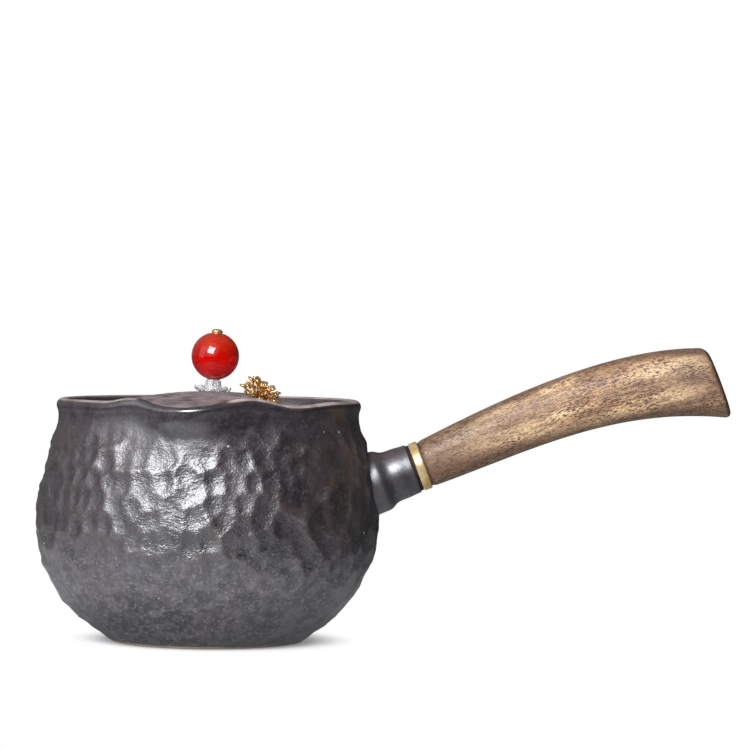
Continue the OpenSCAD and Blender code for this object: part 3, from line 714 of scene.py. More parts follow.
def from_handle_axis(points):
    """Distance of points from the line through the handle's socket. Points far behind it are far off."""
    away = points - HANDLE_O
    across = away - (away @ HANDLE_AXIS)[..., None] * HANDLE_AXIS
    return np.where(away[..., 0] > FAR_BEHIND, np.linalg.norm(across, axis=-1), FAR_OFF)


print("handle tilted by", round(math.degrees(HANDLE_TILT)), "degrees")

# %% Beaten wall
STRAY, STRAY_SPREAD, STRAY_NEAR = 0.5, 75, 0.6
STRAY_LOW, STRAY_LOW_SPREAD, STRAY_HIGH, STRAY_HIGH_SPREAD = 17, 14, 50, 11
FOOT_PLAIN, FOOT_BEATEN, NECK_BEATEN, NECK_PLAIN = 0.8, 5, 58, 68
THROAT_IN, THROAT_OUT, THROAT_LOW, THROAT_TOP, THROAT_PLAIN = 12, 34, 51, 62, 0.75
ROOT_PLAIN, ROOT_BEATEN = 8, 11
LOW_SHARE, LOW_FROM, LOW_TO = 0.75, 12, 34


def hand_made(angle, height):
    """Where the wall strays from round: full low down on the far side from the handle, flat above that
    and flat low down under the handle, as bumps of angle times bumps of height."""
    far = bump(((np.degrees(angle) % 360) - 180) / STRAY_SPREAD)[None, :]
    near = bump(((np.degrees(angle) + 180) % 360 - 180) / STRAY_SPREAD)[None, :]
    low = bump((height - STRAY_LOW) / STRAY_LOW_SPREAD)[:, None]
    high = bump((height - STRAY_HIGH) / STRAY_HIGH_SPREAD)[:, None]
    return STRAY * (far * (low - high) - STRAY_NEAR * near * low)


def beaten_share(height):
    """Share of the beating that the outside keeps: all of it on the belly, less low down, a quarter in the
    lip's throat, and none at the foot, the rim and the handle's root."""
    lip_away = np.abs(from_lip(pot_angles))[None, :]
    throat = (1 - ramp(lip_away, THROAT_IN, THROAT_OUT)) * ramp(height, THROAT_LOW, THROAT_TOP)
    share = ramp(height, FOOT_PLAIN, FOOT_BEATEN) * (1 - ramp(height, NECK_BEATEN, NECK_PLAIN))
    share = share * (1 - THROAT_PLAIN * throat)
    share = share * ramp(from_handle_axis(turned(outer, POT_AROUND)), ROOT_PLAIN, ROOT_BEATEN)
    return share * (LOW_SHARE + (1 - LOW_SHARE) * ramp(height, LOW_FROM, LOW_TO))


height = outer[:, 1][:, None]
fade = beaten_share(height)
dent = (marks - marks.mean()) * fade
wall_r = np.repeat(pot_profile[:, 0][:, None], POT_AROUND, axis=1)
wall_z = np.repeat(pot_profile[:, 1][:, None], POT_AROUND, axis=1)
wall_r[outside] += outer_normal[:, 0][:, None] * dent
wall_z[outside] += outer_normal[:, 1][:, None] * dent
wall_r[outside] += hand_made(pot_angles, outer[:, 1])
wall_r, wall_z = pulled(wall_r, wall_z, pot_angles)
print("wall out to", np.round(wall_r.max(), 1), "mm")

# %% Face and edge of the lip
FACE_R, FACE_SPREAD, FACE_FROM, FACE_TO = 24.0, 22.0, 60.5, 66.0
EDGE_FLAT, EDGE_FROM = 0.42, 0.3
at_face = bump((from_lip(pot_angles) + WAVE_TURN) / FACE_SPREAD)[None, :]
on_face = ramp(height, FACE_FROM, FACE_TO)
on_face[-len(RIM_TURN):, 0] *= RIM_TURN < 0
face_top = wall_r[rim.start + np.argmin(np.abs(RIM_TURN))]
face = face_top - (height - RIM_C[1]) ** 2 / (2 * FACE_R)
wall_r[outside] += at_face * on_face * (face - wall_r[outside])
edge_top = np.clip(height - RIM_C[1] - EDGE_FROM * RIM_R, 0, None)
wall_z[outside] -= EDGE_FLAT * at_face * edge_top
print("edge of the lip lowered by up to", np.round(EDGE_FLAT * edge_top.max(), 2), "mm")

# %% Pot skin
RIDGE_FROM, RIDGE_GAIN, RIDGE_MOST = 0.15, 1.4, 0.45
SHEEN_FROM, SHEEN_FULL, SHEEN_LAST, SHEEN_TO = 15, 55, 115, 150
RIM_FAR_SHEEN, FAR_SIDE, NEAR_SIDE = 0.7, -0.9, 0.7
LIP_COVERED, COVERED_TO = 0.9, 0.5
SMOOTH_BEAT, RIM_BEAT, NECK_BEAT = 0.36, 0.33, 0.5
FACE_BEAT, FACE_BEAT_FROM, FACE_BEAT_TO = 0.2, 62, 65
POLES = [0, 0]
rings = np.stack([wall_r * np.cos(pot_angles), wall_r * np.sin(pot_angles), wall_z], axis=-1)
pot_skin = add_piece("pot_skin", shell(rings), IRON_GLAZE, "pot", "pot_body", sharp=60)

at_lip = bump((from_lip(pot_angles) + WAVE_TURN) / LIP_SPREAD)[None, :]
# The rim's top edge carries a painted highlight with its thin glaze: stronger on the handle's side, left
# off at the lip.
rim_sheen = np.zeros(len(pot_profile))
rim_sheen[rim] = ramp(RIM_TURN, SHEEN_FROM, SHEEN_FULL) * (1 - ramp(RIM_TURN, SHEEN_LAST, SHEEN_TO))
rim_sheen_side = RIM_FAR_SHEEN + (1 - RIM_FAR_SHEEN) * ramp(np.cos(pot_angles), FAR_SIDE, NEAR_SIDE)
thin_and_sheen = rim_sheen[:, None] * rim_sheen_side * (1 - LIP_COVERED * ramp(at_lip, 0.0, COVERED_TO))
thin_and_sheen[outside] += np.clip((dent - RIDGE_FROM) * RIDGE_GAIN, 0, RIDGE_MOST)
mark(pot_skin, "thin_and_sheen", np.append(thin_and_sheen.ravel(), POLES))

beat = np.full((len(pot_profile), POT_AROUND), NECK_BEAT)
beat[outside] = NECK_BEAT + (1 - NECK_BEAT) * np.clip(fade, 0, 1)
beat[rim] = RIM_BEAT
on_lip = at_face * ramp(height, FACE_BEAT_FROM, FACE_BEAT_TO)
beat[outside] += on_lip * (FACE_BEAT - beat[outside])
mark(pot_skin, "beat", np.append(beat.ravel(), POLES))

# %% [markdown]
# Ledge and strainer comb
#
# Inside the neck a ledge carries the lid, and under the lip it is cut into a comb that holds the leaves
# back. A boolean cut would do, but the same section carried through many short arcs gives the ledge
# and each tooth of the comb with clean faces.

# %% Ledge and comb
LEDGE_IN, LEDGE_MIDDLE, LEDGE_THIN = 36.0, 38.0, 0.25
SLOT_COUNT, SLOT_W, SLOT_STEP = 9, 1.8, 4.4
TOOTH_STEPS, LEDGE_STEPS = 4, 130
LEDGE_SECTION = np.array([
    [LEDGE_IN, 59.4], [LEDGE_IN, 61.7], [36.3, LEDGE_Z], [38.4, LEDGE_Z], [40.9, LEDGE_Z],
    [41.7, 60.0], [42.3, 57.6], [42.4, 55.2], [40.6, 56.3], [38.4, 57.8],
])


def arc_bar(start, end, steps):
    """The ledge's section carried from one angle to another, in degrees from the lip."""
    turn = np.radians(np.linspace(start, end, steps) - LIP_TURN)
    r, z = LEDGE_SECTION.T
    level = np.broadcast_to(z, (steps, len(z)))
    return shell(np.stack([np.outer(np.cos(turn), r), np.outer(np.sin(turn), r), level], axis=-1))


slot_half = math.degrees(SLOT_W / 2 / LEDGE_MIDDLE)
slot_at = (np.arange(SLOT_COUNT) - (SLOT_COUNT - 1) / 2) * SLOT_STEP
gaps = zip(slot_at[:-1], slot_at[1:])
teeth = [arc_bar(a + slot_half, b - slot_half, TOOTH_STEPS) for a, b in gaps]
ledge = arc_bar(slot_at[-1] + slot_half, slot_at[0] - slot_half + 360, LEDGE_STEPS)
pot_ledge = add_piece("pot_ledge", together([ledge, *teeth]), IRON_GLAZE, "pot", "pot_body")
mark_all(pot_ledge, "thin_and_sheen", LEDGE_THIN)
mark_all(pot_ledge, "beat", SMOOTH_BEAT)

# %% [markdown]
# Handle socket
#
# A short thrown tube is luted onto the belly: it swells into a collar at its root and meets the wall in
# a plain seam, and its glaze is browner along the top. A boolean union would cut it off at the wall.
# Here every strip of the tube runs on into the wall by itself: the place where it meets the wall is
# found by halving, and the strip ends a little deeper.

# %% Handle socket
SOCKET_R, SOCKET_LEN, SOCKET_ROUND, SOCKET_BORE = 7.35, 11.0, 0.5, 4.8
SOCKET_LAND_R, SOCKET_LAND_LOW = 9.6, 0.6
SOCKET_AROUND, SOCKET_ROWS = 96, 30
SOCKET_MOUTH, SOCKET_SUNK = 1.4, 1.8
SOCKET_BEAT, SOCKET_BROWN, SOCKET_TOP = 0.5, 0.45, 0.2
SOCKET_EDGE_ROWS, BROWN_ROW = 8, 2
MOUTH_BROWN = [0.1, 0.2, 0.3, 0.2, 0.1]
SOCKET_PROFILE = np.array([
    [-12, 10.6], [-6, 9.7], [-3, 9.25], [-1.0, 9.15], [0.0, 9.15], [0.9, 9.05], [1.7, 8.7],
    [2.5, 8.2], [3.3, 7.85], [4.2, 7.68], [5.2, 7.64], [6.4, 7.64], [7.6, 7.58], [9.2, 7.42],
])
LAND_FROM, LAND_TO, HALVINGS = -40.0, 12.0, 40
socket_angles = circle(SOCKET_AROUND)


def wall_radius(z):
    """Radius of the plain wall at a height, read from its two curves."""
    wall = np.vstack([lower_rows, upper_rows])
    return np.interp(z, wall[:, 1], wall[:, 0])


def landing(ways):
    """Where lines along the handle's axis, spread round it by their ways, meet the wall: by halving."""
    low_side = -(ways @ HANDLE_UP)[:, None]
    start = HANDLE_O + (SOCKET_LAND_R + SOCKET_LAND_LOW * low_side) * ways
    low, high = np.full(len(ways), LAND_FROM), np.full(len(ways), LAND_TO)
    for step in range(HALVINGS):
        middle = (low + high) / 2
        at = start + middle[:, None] * HANDLE_AXIS
        clear = np.hypot(at[:, 0], at[:, 1]) > wall_radius(at[:, 2])
        low, high = np.where(clear, low, middle), np.where(clear, middle, high)
    return start + low[:, None] * HANDLE_AXIS


def socket_rings():
    """Rings from the mouth, round its edge and along the tube, which swells towards the wall and ends just
    inside it."""
    ways = np.outer(np.cos(socket_angles), HANDLE_UP) + np.outer(np.sin(socket_angles), HANDLE_SIDE)
    edge = arc((SOCKET_R - SOCKET_ROUND, SOCKET_LEN - SOCKET_ROUND), SOCKET_ROUND, 90, 0, SOCKET_EDGE_ROWS)
    lathe = np.vstack([[[SOCKET_BORE, SOCKET_LEN]], edge])
    rows = HANDLE_O + lathe[:, 1][:, None, None] * HANDLE_AXIS + lathe[:, 0][:, None, None] * ways
    foot = (landing(ways) - HANDLE_O) @ HANDLE_AXIS - SOCKET_SUNK
    t = np.linspace(0, 1, SOCKET_ROWS)[:, None]
    along = SOCKET_LEN - SOCKET_MOUTH + t * (foot - SOCKET_LEN + SOCKET_MOUTH)
    radius = np.interp(along, SOCKET_PROFILE[:, 0], SOCKET_PROFILE[:, 1])
    tube = HANDLE_O + along[..., None] * HANDLE_AXIS + radius[..., None] * ways
    return np.vstack([rows, tube])


socket_skin = socket_rings()
handle_socket = add_piece("handle_socket", shell(socket_skin), IRON_GLAZE, "pot", "pot_body")
top_side = ramp(np.cos(socket_angles), SOCKET_TOP, 1)
socket_thin = np.zeros(len(socket_skin))
socket_thin[BROWN_ROW:BROWN_ROW + len(MOUTH_BROWN)] = MOUTH_BROWN
socket_thin = np.maximum(socket_thin[:, None], SOCKET_BROWN * top_side)
mark(handle_socket, "thin_and_sheen", np.append(socket_thin.ravel(), POLES))
mark_all(handle_socket, "beat", SOCKET_BEAT)

# %% [markdown]
# Lid
#
# The lid is a low dome that drops inside the rim, thrown on the wheel, so faint rings run round it. Its
# glaze is thinner and browner than the pot's. The dome is one profile turned about the axis, from the
# middle of its top over its edge and down round the flange to the middle of its underside.

# %% Lid glaze


def lid_glaze():
    """Mauve brown in clouds, with streaks round the axis from the mark of throwing, and dark speckle."""
    material, tree, shader = new_finish("lid_glaze", IOR=1.42)
    place = place_on(tree)
    thrown = read_mark(tree, "thrown", "Vector")
    cloudy = effect(tree, CLOUD, place, Scale=110.0, Low=0.36, High=0.66)
    colour = mixed(tree, cloudy, rgb(78, 67, 68), rgb(142, 130, 131))
    lines = effect(tree, STREAK, thrown, Along=0.8, Across=1.6, Low=0.42, High=0.62)
    colour = masked(tree, colour, lines, 0.6, rgb(150, 135, 133))
    speckle = effect(tree, CLOUD, place, Scale=1500.0, Low=0.58, High=0.7)
    colour = masked(tree, colour, speckle, 0.5, rgb(58, 48, 46))
    rough = ranged(tree, cloudy, 0.0, 1.0, 0.48, 0.62)
    grain = effect(tree, PEEL, place, Scale=700.0, Finer=0.5)
    feed(tree, shader, Base_Color=colour, Roughness=rough, Normal=bumped(tree, grain, 0.4, 0.18))
    return material


LID_GLAZE = lid_glaze()
print("finish", LID_GLAZE.name)

# %% Lid
LID_R, LID_TOP, DOME_R, LID_WALL, LID_ROUND = 39.3, 73.2, 110.0, 4.0, 1.5
FLANGE_OUT, FLANGE_IN, FLANGE_LOW = 35.2, 32.2, 57.0
SEAT_Z = 62.1
DOME_C = LID_TOP - DOME_R
LID_IN, TOP_OUT, UNDER_OUT, EDGE_TURN = 1.5, 37.2, 31.6, 66
TOP_ROWS, EDGE_ROWS, UNDER_ROWS, LID_AROUND = 60, 10, 26, 180
THROW_H, THROW_WAVE, THROW_FROM, THROW_TO = 0.035, 2.1, 4, 12
THROWN_ROUND, THROWN_OUT = 3, 0.9


def dome(radius, sphere_r):
    """Height of a sphere about the dome's centre at a radius from the axis."""
    return DOME_C + np.sqrt(sphere_r**2 - radius**2)


top_r = np.linspace(LID_IN, TOP_OUT, TOP_ROWS)
throwing = THROW_H * np.sin(top_r * THROW_WAVE) * ramp(top_r, THROW_FROM, THROW_TO)
top_rows = np.column_stack([top_r, dome(top_r, DOME_R) + throwing])
edge_r = LID_R - LID_ROUND
edge_rows = arc((edge_r, dome(edge_r, DOME_R - LID_ROUND)), LID_ROUND, EDGE_TURN, 0, EDGE_ROWS)
side_rows = np.array([[LID_R, 63.8], [39.28, 62.6], [39.0, SEAT_Z]])
flange_rows = np.array([
    [37.0, SEAT_Z], [35.5, SEAT_Z], [FLANGE_OUT, 61.7], [FLANGE_OUT, 59.5], [FLANGE_OUT, 57.5],
    [34.8, FLANGE_LOW], [32.7, FLANGE_LOW], [FLANGE_IN, 57.5], [FLANGE_IN, 60.0], [FLANGE_IN, 62.6],
])
under_r = np.linspace(UNDER_OUT, LID_IN, UNDER_ROWS)
under_lid_rows = np.column_stack([under_r, dome(under_r, DOME_R - LID_WALL)])
lid_profile = np.vstack([top_rows, edge_rows, side_rows, flange_rows, under_lid_rows])
lid_rings = turned(lid_profile, LID_AROUND)
lid_skin = add_piece("lid_skin", shell(lid_rings), LID_GLAZE, "lid", "lid")
round_x = np.cos(circle(LID_AROUND)) * THROWN_ROUND
round_y = np.sin(circle(LID_AROUND)) * THROWN_ROUND
thrown = np.stack(np.broadcast_arrays(round_x, lid_profile[:, :1] * THROWN_OUT, round_y), axis=-1)
mark(lid_skin, "thrown", np.vstack([thrown.reshape(-1, 3), np.zeros((2, 3))]))

# %% [markdown]
# Crystal seat
#
# Under the bead sits a small crown of clear crystal: a waisted hub on a plate, and two rings of eight
# petals. The low ones spread on the lid and turn up at their tips. The steep ones stand between them,
# run down from the bead and bend out. One lobed solid would bend the light like a lens and look dark,
# so the petals are thin strips that stand clear of each other, bright in the middle and dark at the edges.

# %% Crystal


def crystal():
    """Clear glass with a trace of white in it, whose polish varies by faint clouds."""
    material, tree, shader = new_finish("crystal", IOR=1.22, Transmission_Weight=0.82)
    place = place_on(tree)
    cloudy = effect(tree, CLOUD, place, Scale=600.0, Low=0.3, High=0.7)
    colour = mixed(tree, cloudy, (0.98, 0.985, 0.99, 1), (1, 1, 1, 1))
    feed(tree, shader, Base_Color=colour, Roughness=ranged(tree, cloudy, 0.0, 1.0, 0.01, 0.05))
    return material


CRYSTAL = crystal()
print("finish", CRYSTAL.name)

# %% Crystal seat
KNOB_O = np.array([0.9, 0.0, 72.5])
KNOB_LEAN = math.radians(4)
KNOB_AXES = np.array([
    [math.cos(KNOB_LEAN), 0, -math.sin(KNOB_LEAN)],
    [0, 1, 0],
    [math.sin(KNOB_LEAN), 0, math.cos(KNOB_LEAN)],
])
SEAT_PETALS, SEAT_SPOON, SEAT_AROUND = 8, 0.68, 96
PETAL_ROWS, PETAL_AROUND = 26, 16
CURL_FROM, CURL_TO, PETAL_LEAST = 0.5, 0.95, 0.03
SEAT_ROWS = np.array([
    [1.1, 0.0], [3.3, 0.0], [3.5, 0.2], [3.3, 0.4], [2.2, 0.5], [1.8, 0.8],
    [1.6, 1.9], [1.6, 3.4], [1.9, 4.2], [1.7, 4.3], [1.1, 4.2],
])
LOW_PETAL = dict(root_r=2.6, root_z=0.3, length=3.9, rise=0, sweep=55, width=3.2, thick=0.24, cup=0.35,
                 curl=35, stem=0.8)
STEEP_PETAL = dict(root_r=1.9, root_z=3.9, length=5.0, rise=-80, sweep=10, width=2.2, thick=0.22, cup=0.3,
                   curl=70, stem=0.7)


def on_knob(points):
    """Points of the knob's own frame, which leans a little, carried to its place on the lid."""
    return placed(points, KNOB_O, KNOB_AXES)


def petal_rings(root_r, root_z, length, rise, sweep, turn, width, thick, cup, curl, stem, spoon, swell=0):
    """A strip along a path whose slope grows from rise by sweep, and by a curl near the tip. Its section
    is a flat loop. A stem, a share of the full width, swells into a spoon, an ellipse in outline, whose
    edges and tip are lifted by the cup and which is thicker by the swell."""
    t = np.linspace(0, 1, PETAL_ROWS)
    slope = np.radians(rise + sweep * t + curl * ramp(t, CURL_FROM, CURL_TO))
    step = length / (PETAL_ROWS - 1)
    r = root_r + np.concatenate([[0], np.cumsum(step * np.cos(slope[:-1]))])
    z = root_z + np.concatenate([[0], np.cumsum(step * np.sin(slope[:-1]))])
    bowl = np.clip((t - spoon) / (1 - spoon), -1, 1)
    half = width / 2 * np.maximum(np.sqrt(1 - bowl**2), stem * (bowl < 0)) + PETAL_LEAST
    a = circle(PETAL_AROUND)
    side = np.cos(a)[None, :] * half[:, None]
    lift = np.cos(a)[None, :] ** 2 * (half / half.max())[:, None] ** 2 + np.clip(bowl, 0, 1)[:, None] ** 2
    full = thick / 2 * (1 + swell * np.sqrt(1 - bowl**2) * ramp(bowl, -1, 0))
    out = np.sin(a)[None, :] * full[:, None] + cup * lift
    radius = r[:, None] - out * np.sin(slope)[:, None]
    high = z[:, None] + out * np.cos(slope)[:, None]
    ct, st = math.cos(turn), math.sin(turn)
    return np.stack([radius * ct - side * st, radius * st + side * ct, high], axis=-1)


def seat_shells():
    """The hub on its plate, a closed ring, and the two rings of petals."""
    shells = [shell(on_knob(turned(SEAT_ROWS, SEAT_AROUND)), joined=True)]
    for i in range(SEAT_PETALS):
        turn = i * TURN / SEAT_PETALS
        low = petal_rings(turn=turn, spoon=SEAT_SPOON, **LOW_PETAL)
        steep = petal_rings(turn=turn + TURN / SEAT_PETALS / 2, spoon=SEAT_SPOON, **STEEP_PETAL)
        shells += [shell(on_knob(rings)) for rings in (low, steep)]
    return together(shells)


add_piece("crystal_seat", seat_shells(), CRYSTAL, "lid", "knob_seat", sharp=50)

# %% [markdown]
# Carnelian bead
#
# The knob is a polished bead of red carnelian, translucent. Light is painted into its colour: more orange
# at the top, where light gets through, and a brighter red glow below, with painted shade deeper red on its
# left side. A sphere primitive has no hole; this one is a profile that goes up the outside and back down
# through the bore.

# %% Carnelian
LIT_TOP_FROM, LIT_TOP_TO = 82 * MM, 90 * MM
SHADED_SIDE_FROM, SHADED_SIDE_TO = 1 * MM, -6 * MM
LIT_BELOW_FROM, LIT_BELOW_TO = 81 * MM, 76 * MM


def carnelian():
    """Red stone in clouds and faint bands, with painted light, paler above and glowing below, and painted
    shade, deeper red on the left side, with light scattered under a polished skin."""
    scatter = {"Subsurface_Weight": 0.6, "Subsurface_Radius": (1.0, 0.1, 0.02), "Subsurface_Scale": 0.007}
    material, tree, shader = new_finish("carnelian", IOR=1.66, Transmission_Weight=0.4, **scatter)
    place = place_on(tree)
    cloudy = effect(tree, CLOUD, place, Scale=140.0, Low=0.35, High=0.68)
    colour = mixed(tree, cloudy, rgb(218, 4, 0), rgb(230, 14, 0))
    part = add(tree, "SeparateXYZ", {0: place}).outputs
    # Painted light: paler and more orange towards the top, where light gets through.
    lit_top = ranged(tree, part["Z"], LIT_TOP_FROM, LIT_TOP_TO, 0.0, 0.8)
    colour = mixed(tree, lit_top, colour, rgb(204, 58, 8))
    band = effect(tree, STREAK, place, Along=60.0, Across=420.0, Low=0.45, High=0.62)
    colour = masked(tree, colour, band, 0.2, rgb(186, 4, 0))
    # Painted shade: deeper red on the left side, where the side lamp lights the bead.
    shaded_side = ranged(tree, part["X"], SHADED_SIDE_FROM, SHADED_SIDE_TO, 0.0, 0.8)
    colour = mixed(tree, shaded_side, colour, rgb(176, 1, 0))
    # Painted light: a brighter red glow towards the bottom, for light that passes through the stone.
    lit_below = ranged(tree, part["Z"], LIT_BELOW_FROM, LIT_BELOW_TO, 0.0, 0.6)
    colour = mixed(tree, lit_below, colour, rgb(252, 14, 0))
    feed(tree, shader, Base_Color=colour, Roughness=ranged(tree, cloudy, 0.0, 1.0, 0.0, 0.012))
    return material


CARNELIAN = carnelian()
print("finish", CARNELIAN.name)

# %% Bead
BEAD_R, BEAD_Z, BEAD_HOLE_R, BEAD_TOP = 7.0, 11.05, 1.2, 17.75
BEAD_EDGE, FLAT_IN, FLAT_DROP = 0.15, 0.25, 0.02
BORE_FROM, BORE_TO = 1.5, 6.5
BEAD_STEPS, BORE_STEPS, BEAD_AROUND = 72, 6, 128
bead_low = math.degrees(math.asin(math.sqrt(1 - (BEAD_HOLE_R / BEAD_R) ** 2)))
bead_flat_r = math.sqrt(BEAD_R**2 - (BEAD_TOP - BEAD_Z) ** 2)
bead_high = math.degrees(math.asin((BEAD_TOP - BEAD_Z) / BEAD_R))
bore_z = np.linspace(BEAD_TOP - BORE_FROM, BEAD_Z - BORE_TO, BORE_STEPS)
bead_rows = np.vstack([
    arc((0, BEAD_Z), BEAD_R, -bead_low, bead_high - 1.0, BEAD_STEPS),
    [[bead_flat_r - FLAT_IN, BEAD_TOP - FLAT_DROP], [BEAD_HOLE_R + BEAD_EDGE, BEAD_TOP]],
    [[BEAD_HOLE_R, BEAD_TOP - BEAD_EDGE]],
    np.column_stack([np.full(BORE_STEPS, BEAD_HOLE_R), bore_z]),
])
bead_skin = shell(on_knob(turned(bead_rows, BEAD_AROUND)), joined=True)
add_piece("bead", bead_skin, CARNELIAN, "lid", "knob_bead")

# %% [markdown]
# Gilt
#
# The screw head on the bead and the flower are gilt: polished gold over brass. Shade is painted into the
# hollows between the petals: they are known from the shape, so each petal keeps how far along it a point
# lies, and the finish is darker brown and duller near the root.

# %% Gilt


def gilt():
    """Gold with painted shade: dull brown where the mark is 0, near the roots, to bright at 1, with a
    slightly worn polish.
    """
    material, tree, shader = new_finish("gilt", Metallic=0.88)
    place = place_on(tree)
    unshaded = read_mark(tree, "unshaded")
    cloudy = effect(tree, CLOUD, place, Scale=900.0, Low=0.35, High=0.65)
    gold = mixed(tree, cloudy, rgb(255, 194, 108), rgb(255, 228, 168))
    # Painted shade: dark brown in the hollows near the roots, where the mark is low.
    colour = mixed(tree, ranged(tree, unshaded, 0.0, 0.42), rgb(112, 55, 17), gold)
    rough = ranged(tree, unshaded, 0.0, 0.8, 0.34, 0.2)
    rough = maths(tree, "ADD", rough, maths(tree, "MULTIPLY", cloudy, 0.06))
    grain = effect(tree, PEEL, place, Scale=2600.0, Finer=0.4)
    feed(tree, shader, Base_Color=colour, Roughness=rough, Normal=bumped(tree, grain, 0.2, 0.05))
    return material


def turned_metal(name, dark, pale):
    """Machined metal: two tones in clouds and fine streaks across the part."""
    material, tree, shader = new_finish(name, Metallic=1.0)
    place = place_on(tree)
    cloudy = effect(tree, CLOUD, place, Scale=700.0, Low=0.3, High=0.7)
    lines = effect(tree, STREAK, place, Along=300.0, Across=6000.0, Low=0.3, High=0.7)
    colour = mixed(tree, cloudy, dark, pale)
    rough = ranged(tree, lines, 0.0, 1.0, 0.25, 0.4)
    feed(tree, shader, Base_Color=colour, Roughness=rough, Normal=bumped(tree, lines, 0.2, 0.04))
    return material


GILT = gilt()
STEEL = turned_metal("steel", rgb(206, 206, 210), rgb(234, 234, 238))
print("finishes", GILT.name, STEEL.name)

# %% Screw
HEAD_R, HEAD_H, HEAD_EDGE, HEAD_DOME = 1.7, 1.3, 0.45, 4.6
HEAD_MIDDLE, HEAD_TURN, DOME_FROM, DOME_TO, HEAD_STEPS = 0.5, 60, 75, 88, 8
SCREW_R, SCREW_LOW, SCREW_AROUND = 1.0, -6.4, 48
HEAD_UNSHADED = 0.85
head_rows = np.vstack([
    arc((HEAD_R - HEAD_EDGE, BEAD_TOP + HEAD_MIDDLE), HEAD_EDGE, -HEAD_TURN, HEAD_TURN, HEAD_STEPS),
    arc((0, BEAD_TOP + HEAD_H - HEAD_DOME), HEAD_DOME, DOME_FROM, DOME_TO, HEAD_STEPS),
])
shank_rows = np.array([
    [0.3, SCREW_LOW], [0.8, SCREW_LOW], [SCREW_R, SCREW_LOW + 0.25], [SCREW_R, 0.0],
    [SCREW_R, BEAD_TOP - 0.1], [HEAD_R - 0.15, BEAD_TOP + 0.01],
])
screw_rows = np.vstack([shank_rows, head_rows])
screw_skin = shell(on_knob(turned(screw_rows, SCREW_AROUND)))
knob_screw = add_piece("gilt_screw", screw_skin, GILT, "lid", "knob_screw")
knob_screw.data.materials.append(STEEL)
face_rows = np.arange(len(knob_screw.data.polygons)) // SCREW_AROUND
is_shank = (face_rows < len(shank_rows) - 1) | (face_rows == len(screw_rows) - 1)
knob_screw.data.polygons.foreach_set("material_index", is_shank.astype(np.int32))
mark_all(knob_screw, "unshaded", HEAD_UNSHADED)

# %% [markdown]
# Gilt flower
#
# The flower is cast and bent from narrow strips: a calyx with broad sepals, three tiers of petals that
# stand steeper towards the middle, and a tuft of stamens. Array modifiers would repeat one petal
# exactly. Here each petal is a hollow strip carried along its own bend, and a seeded generator varies
# its slope, length and turn a little, as hand-bent metal does.

# %% Place of the flower
FLOWER_X, FLOWER_Y = 15.5, -20.0
FLOWER_O = np.array([FLOWER_X, FLOWER_Y, float(dome(math.hypot(FLOWER_X, FLOWER_Y), DOME_R))])
FLOWER_PITCH = math.asin(-FLOWER_Y / DOME_R)
FLOWER_ROLL = math.asin(FLOWER_X / DOME_R) + math.radians(4)
FLOWER_SINK = 0.25


def flower_axes():
    """Axes of the flower: turned about X by its pitch, after a turn about Y by its roll."""
    cp, sp = math.cos(FLOWER_PITCH), math.sin(FLOWER_PITCH)
    cr, sr = math.cos(FLOWER_ROLL), math.sin(FLOWER_ROLL)
    about_x = np.array([[1, 0, 0], [0, cp, -sp], [0, sp, cp]])
    about_y = np.array([[cr, 0, sr], [0, 1, 0], [-sr, 0, cr]])
    return (about_y @ about_x).T


FLOWER_AXES = flower_axes()
FLOWER_BASE = FLOWER_O - FLOWER_SINK * FLOWER_AXES[2]


def on_flower(points):
    """Points of the flower's own frame carried to its place on the lid."""
    return placed(points, FLOWER_BASE, FLOWER_AXES)


print("flower at", np.round(FLOWER_BASE, 1), "mm")

# %% Petals
PETAL_LEAN, PETAL_DRAWN = 10.0, 0.18
PETAL_FORM = dict(stem=0.34, spoon=0.78, swell=1.6)
LENGTH_VARY, RISE_VARY, SWEEP_VARY, TURN_VARY = 0.07, 5, 0.1, 0.12
SEPAL = dict(root_r=2.3, root_z=0.75, width=2.3, thick=0.3, cup=0.3, curl=0)
NARROW_PETAL = dict(width=1.6, thick=0.28, cup=0.34, curl=-54)
CALYX_ROWS = [
    [0.3, -4.95], [0.8, -4.95], [0.8, 0.0], [2.4, 0.0],
    [2.6, 0.2], [2.6, 0.8], [2.4, 1.0], [0.8, 1.02],
]
CALYX_UNSHADED, HUB_UNSHADED = 0.15, 0.1
HUB_BORE, HUB_EDGE, HUB_UNDER, HUB_SIDE, HUB_H = 0.85, 0.1, 0.3, 0.5, 0.6
HUB_AROUND, PETAL_SEED = 40, 5
petal_draw = np.random.default_rng(PETAL_SEED)


def petal_tier(count, first_turn, length, rise, sweep, **form):
    """All petals of a tier, and the mark along each of how far a point lies out of the painted shade.
    Petals on the knob's side are bent up and drawn out, and those on the handle's side are bent down and
    shorter."""
    shells = []
    for i in range(count):
        vary = petal_draw.uniform(-1, 1, 4)
        turn = first_turn + (i + TURN_VARY * vary[3]) * TURN / count
        inner_side = -math.cos(turn)
        own_length = length * (1 + LENGTH_VARY * vary[0] + PETAL_DRAWN * inner_side)
        own_rise = rise + RISE_VARY * vary[1] + PETAL_LEAN * inner_side
        own_sweep = sweep * (1 + SWEEP_VARY * vary[2])
        rings = petal_rings(length=own_length, rise=own_rise, sweep=own_sweep, turn=turn,
                            **PETAL_FORM, **form)
        shells.append(shell(on_flower(rings)))
    along = np.repeat(np.linspace(0, 1, PETAL_ROWS), PETAL_AROUND)
    return shells, np.tile(np.append(along, [0, 1]), count)


def flower_piece(name, node, hub_rows, hub_unshaded, petals):
    """A hub, turned about the flower's axis, with its petals as one piece, marked with how far out of the
    painted shade each point lies.
    """
    shells, along = petals
    hub = shell(on_flower(turned(np.array(hub_rows), HUB_AROUND)))
    piece = add_piece(name, together([hub, *shells]), GILT, "lid", node)
    mark(piece, "unshaded", np.concatenate([np.full(len(hub[0]), hub_unshaded), along]))


